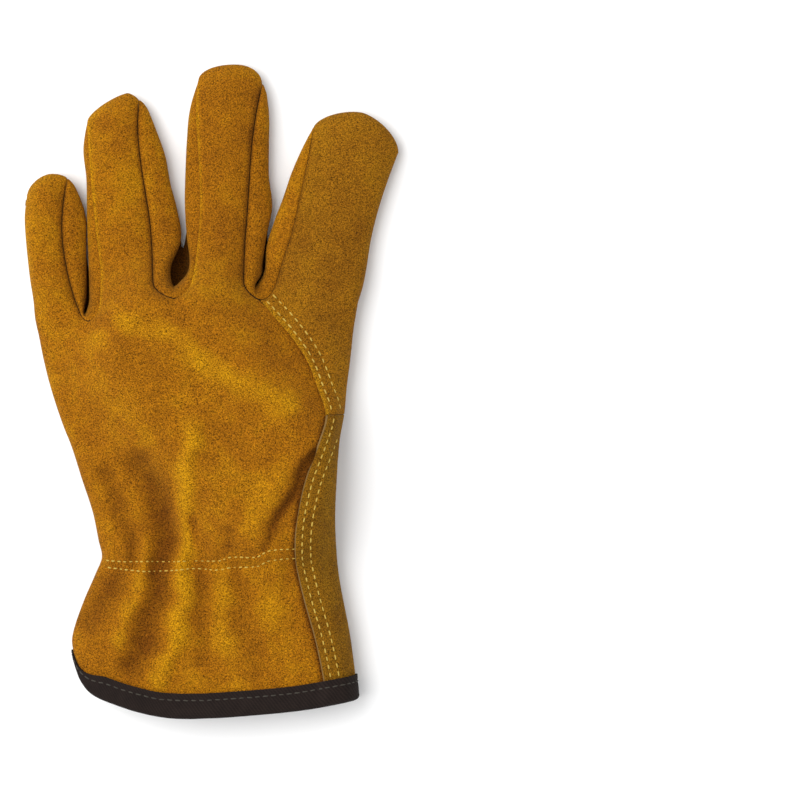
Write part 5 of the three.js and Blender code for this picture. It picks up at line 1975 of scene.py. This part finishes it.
@dataclass
class Studio:
    """A pale floor, soft light from the left and above, and the camera straight over the glove."""

    lens: float = 210
    sensor: float = 36
    level: float = 0.012         # the height that is in the photograph's scale
    floor_size: float = 6
    subject: Place = (-0.07, 0, 0)           # the glove, from the photograph's middle
    key_from: Place = (-0.85, 0.25, 1.35)    # the lights, from the glove
    key_size: float = 1.6
    key_power: float = 33
    fill_from: Place = (1.1, -0.6, 1.3)
    fill_size: float = 2.0
    fill_power: float = 6
    world: float = 0.62

    def centre(self, shift: Array) -> Vector:
        """The point of the frame under the middle of the photograph."""
        x = (PHOTO_SIZE / 2 - HEM_PIXEL[0]) * PIXEL + shift[0]
        y = (HEM_PIXEL[1] - PHOTO_SIZE / 2) * PIXEL + shift[1]
        return Vector((x, y, 0)) * MM

    def build(self, shift: Array) -> None:
        """Makes the floor, the lights and the camera."""
        scene = bpy.context.scene
        bpy.ops.mesh.primitive_plane_add(size=self.floor_size, location=(0, 0, 0))
        floor = bpy.context.object
        floor.name = "floor"
        floor.data.materials.append(Floor().material())
        middle = self.centre(shift)
        glove = middle + Vector(self.subject)
        self.area("key", glove + Vector(self.key_from), glove, self.key_size, self.key_power)
        self.area("fill", glove + Vector(self.fill_from), glove, self.fill_size, self.fill_power)
        world = bpy.data.worlds.new("studio")
        world.use_nodes = True
        sky = world.node_tree.nodes["Background"].inputs
        sky["Color"].default_value = (1, 1, 1, 1)
        sky["Strength"].default_value = self.world
        scene.world = world
        camera = bpy.data.cameras.new("camera")
        camera.lens = self.lens
        camera.sensor_width = self.sensor
        camera.clip_end = 20
        view = bpy.data.objects.new("camera", camera)
        frame_side = PHOTO_SIZE * PIXEL * MM
        view.location = middle + Vector((0, 0, self.level + frame_side * self.lens / self.sensor))
        scene.collection.objects.link(view)
        scene.camera = view
        scene.view_settings.view_transform = "Standard"

    def area(self, name: str, place: Vector, target: Vector, size: float, power: float) -> None:
        """Adds a square area light that faces a target."""
        data = bpy.data.lights.new(name, "AREA")
        data.size = size
        data.energy = power
        light = bpy.data.objects.new(name, data)
        light.location = place
        light.rotation_euler = (target - place).to_track_quat("-Z", "Y").to_euler()
        bpy.context.scene.collection.objects.link(light)


def dress(obj: Piece, materials: Sequence[Material], nodes: Sequence[str] = ()) -> None:
    """Gives a piece its materials and its body, and hides the nodes that it stands for.

    Args:
        obj: the piece.
        materials: its own material, and that of its cut edges if it has any.
        nodes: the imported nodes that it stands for.
    """
    for material in materials:
        obj.data.materials.append(material)
    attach(obj, "root")
    if nodes:
        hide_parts(*nodes)
    log.info("%s: %d faces", obj.name, len(obj.data.polygons))


def main() -> None:
    """Builds the glove, its stitching and the studio."""
    logging.basicConfig(level=logging.INFO, format="%(name)s %(message)s")
    golden = Suede("golden_suede").material()
    olive = Suede("olive_suede", deep=(0.140, 0.048, 0.003), middle=(0.220, 0.088, 0.004),
                  light=(0.30, 0.135, 0.004)).material()
    brown = Suede("strip_suede", deep=(0.115, 0.042, 0.003), middle=(0.180, 0.078, 0.004),
                  light=(0.25, 0.120, 0.004)).material()
    edge = CutEdge().material()
    glove = Glove()
    palm = PalmPanel(glove).sheet()
    points, triangles, cut, nap_and_shading = palm.solid()
    glove.seat(points)
    log.info("plan to frame: %s mm", glove.shift.round(3))
    dress(make_object("glove_palm", points, triangles, glove.shift, cut=cut, nap_and_shading=nap_and_shading),
          (olive, olive), ("palm_panel",))
    dress(BackPanel(glove).build(), (golden, edge), ("back_panel",))
    dress(SideStrip(glove).build(), (brown, edge), ("side_strip",))
    gaps = (("little_ring", glove.little, glove.ring), ("ring_middle", glove.ring, glove.middle),
            ("middle_index", glove.middle, glove.index))
    for name, first, second in gaps:
        strip = Fourchette(glove, f"glove_fourchette_{name}", first, second).build()
        dress(strip, (golden, edge), (f"fourchette_{name}",))
    stall = ThumbStall(glove)
    dress(stall.back(), (olive, edge), ("thumb_back",))
    dress(stall.front(), (olive, edge), ("thumb_front",))
    binding = CuffBinding(glove)
    dress(binding.build(), (Tape().material(),), ("cuff_binding",))

    dress(seam_rows(glove).build(),
          (Thread("yellow_thread", (0.30, 0.17, 0.012), (0.58, 0.40, 0.07)).material(),))
    tape_seam = Stitching(glove, "tape_stitches", pitch=3.0, length=2.5, radius=0.26, hump=0.25)
    for palm_side in (False, True):
        tape_seam.add(*binding.stitch_path(palm_side))
    dress(tape_seam.build(),
          (Thread("dark_thread", (0.02, 0.017, 0.013), (0.06, 0.052, 0.04)).material(),))
    Studio().build(glove.shift)


if __name__ == "__main__":
    main()
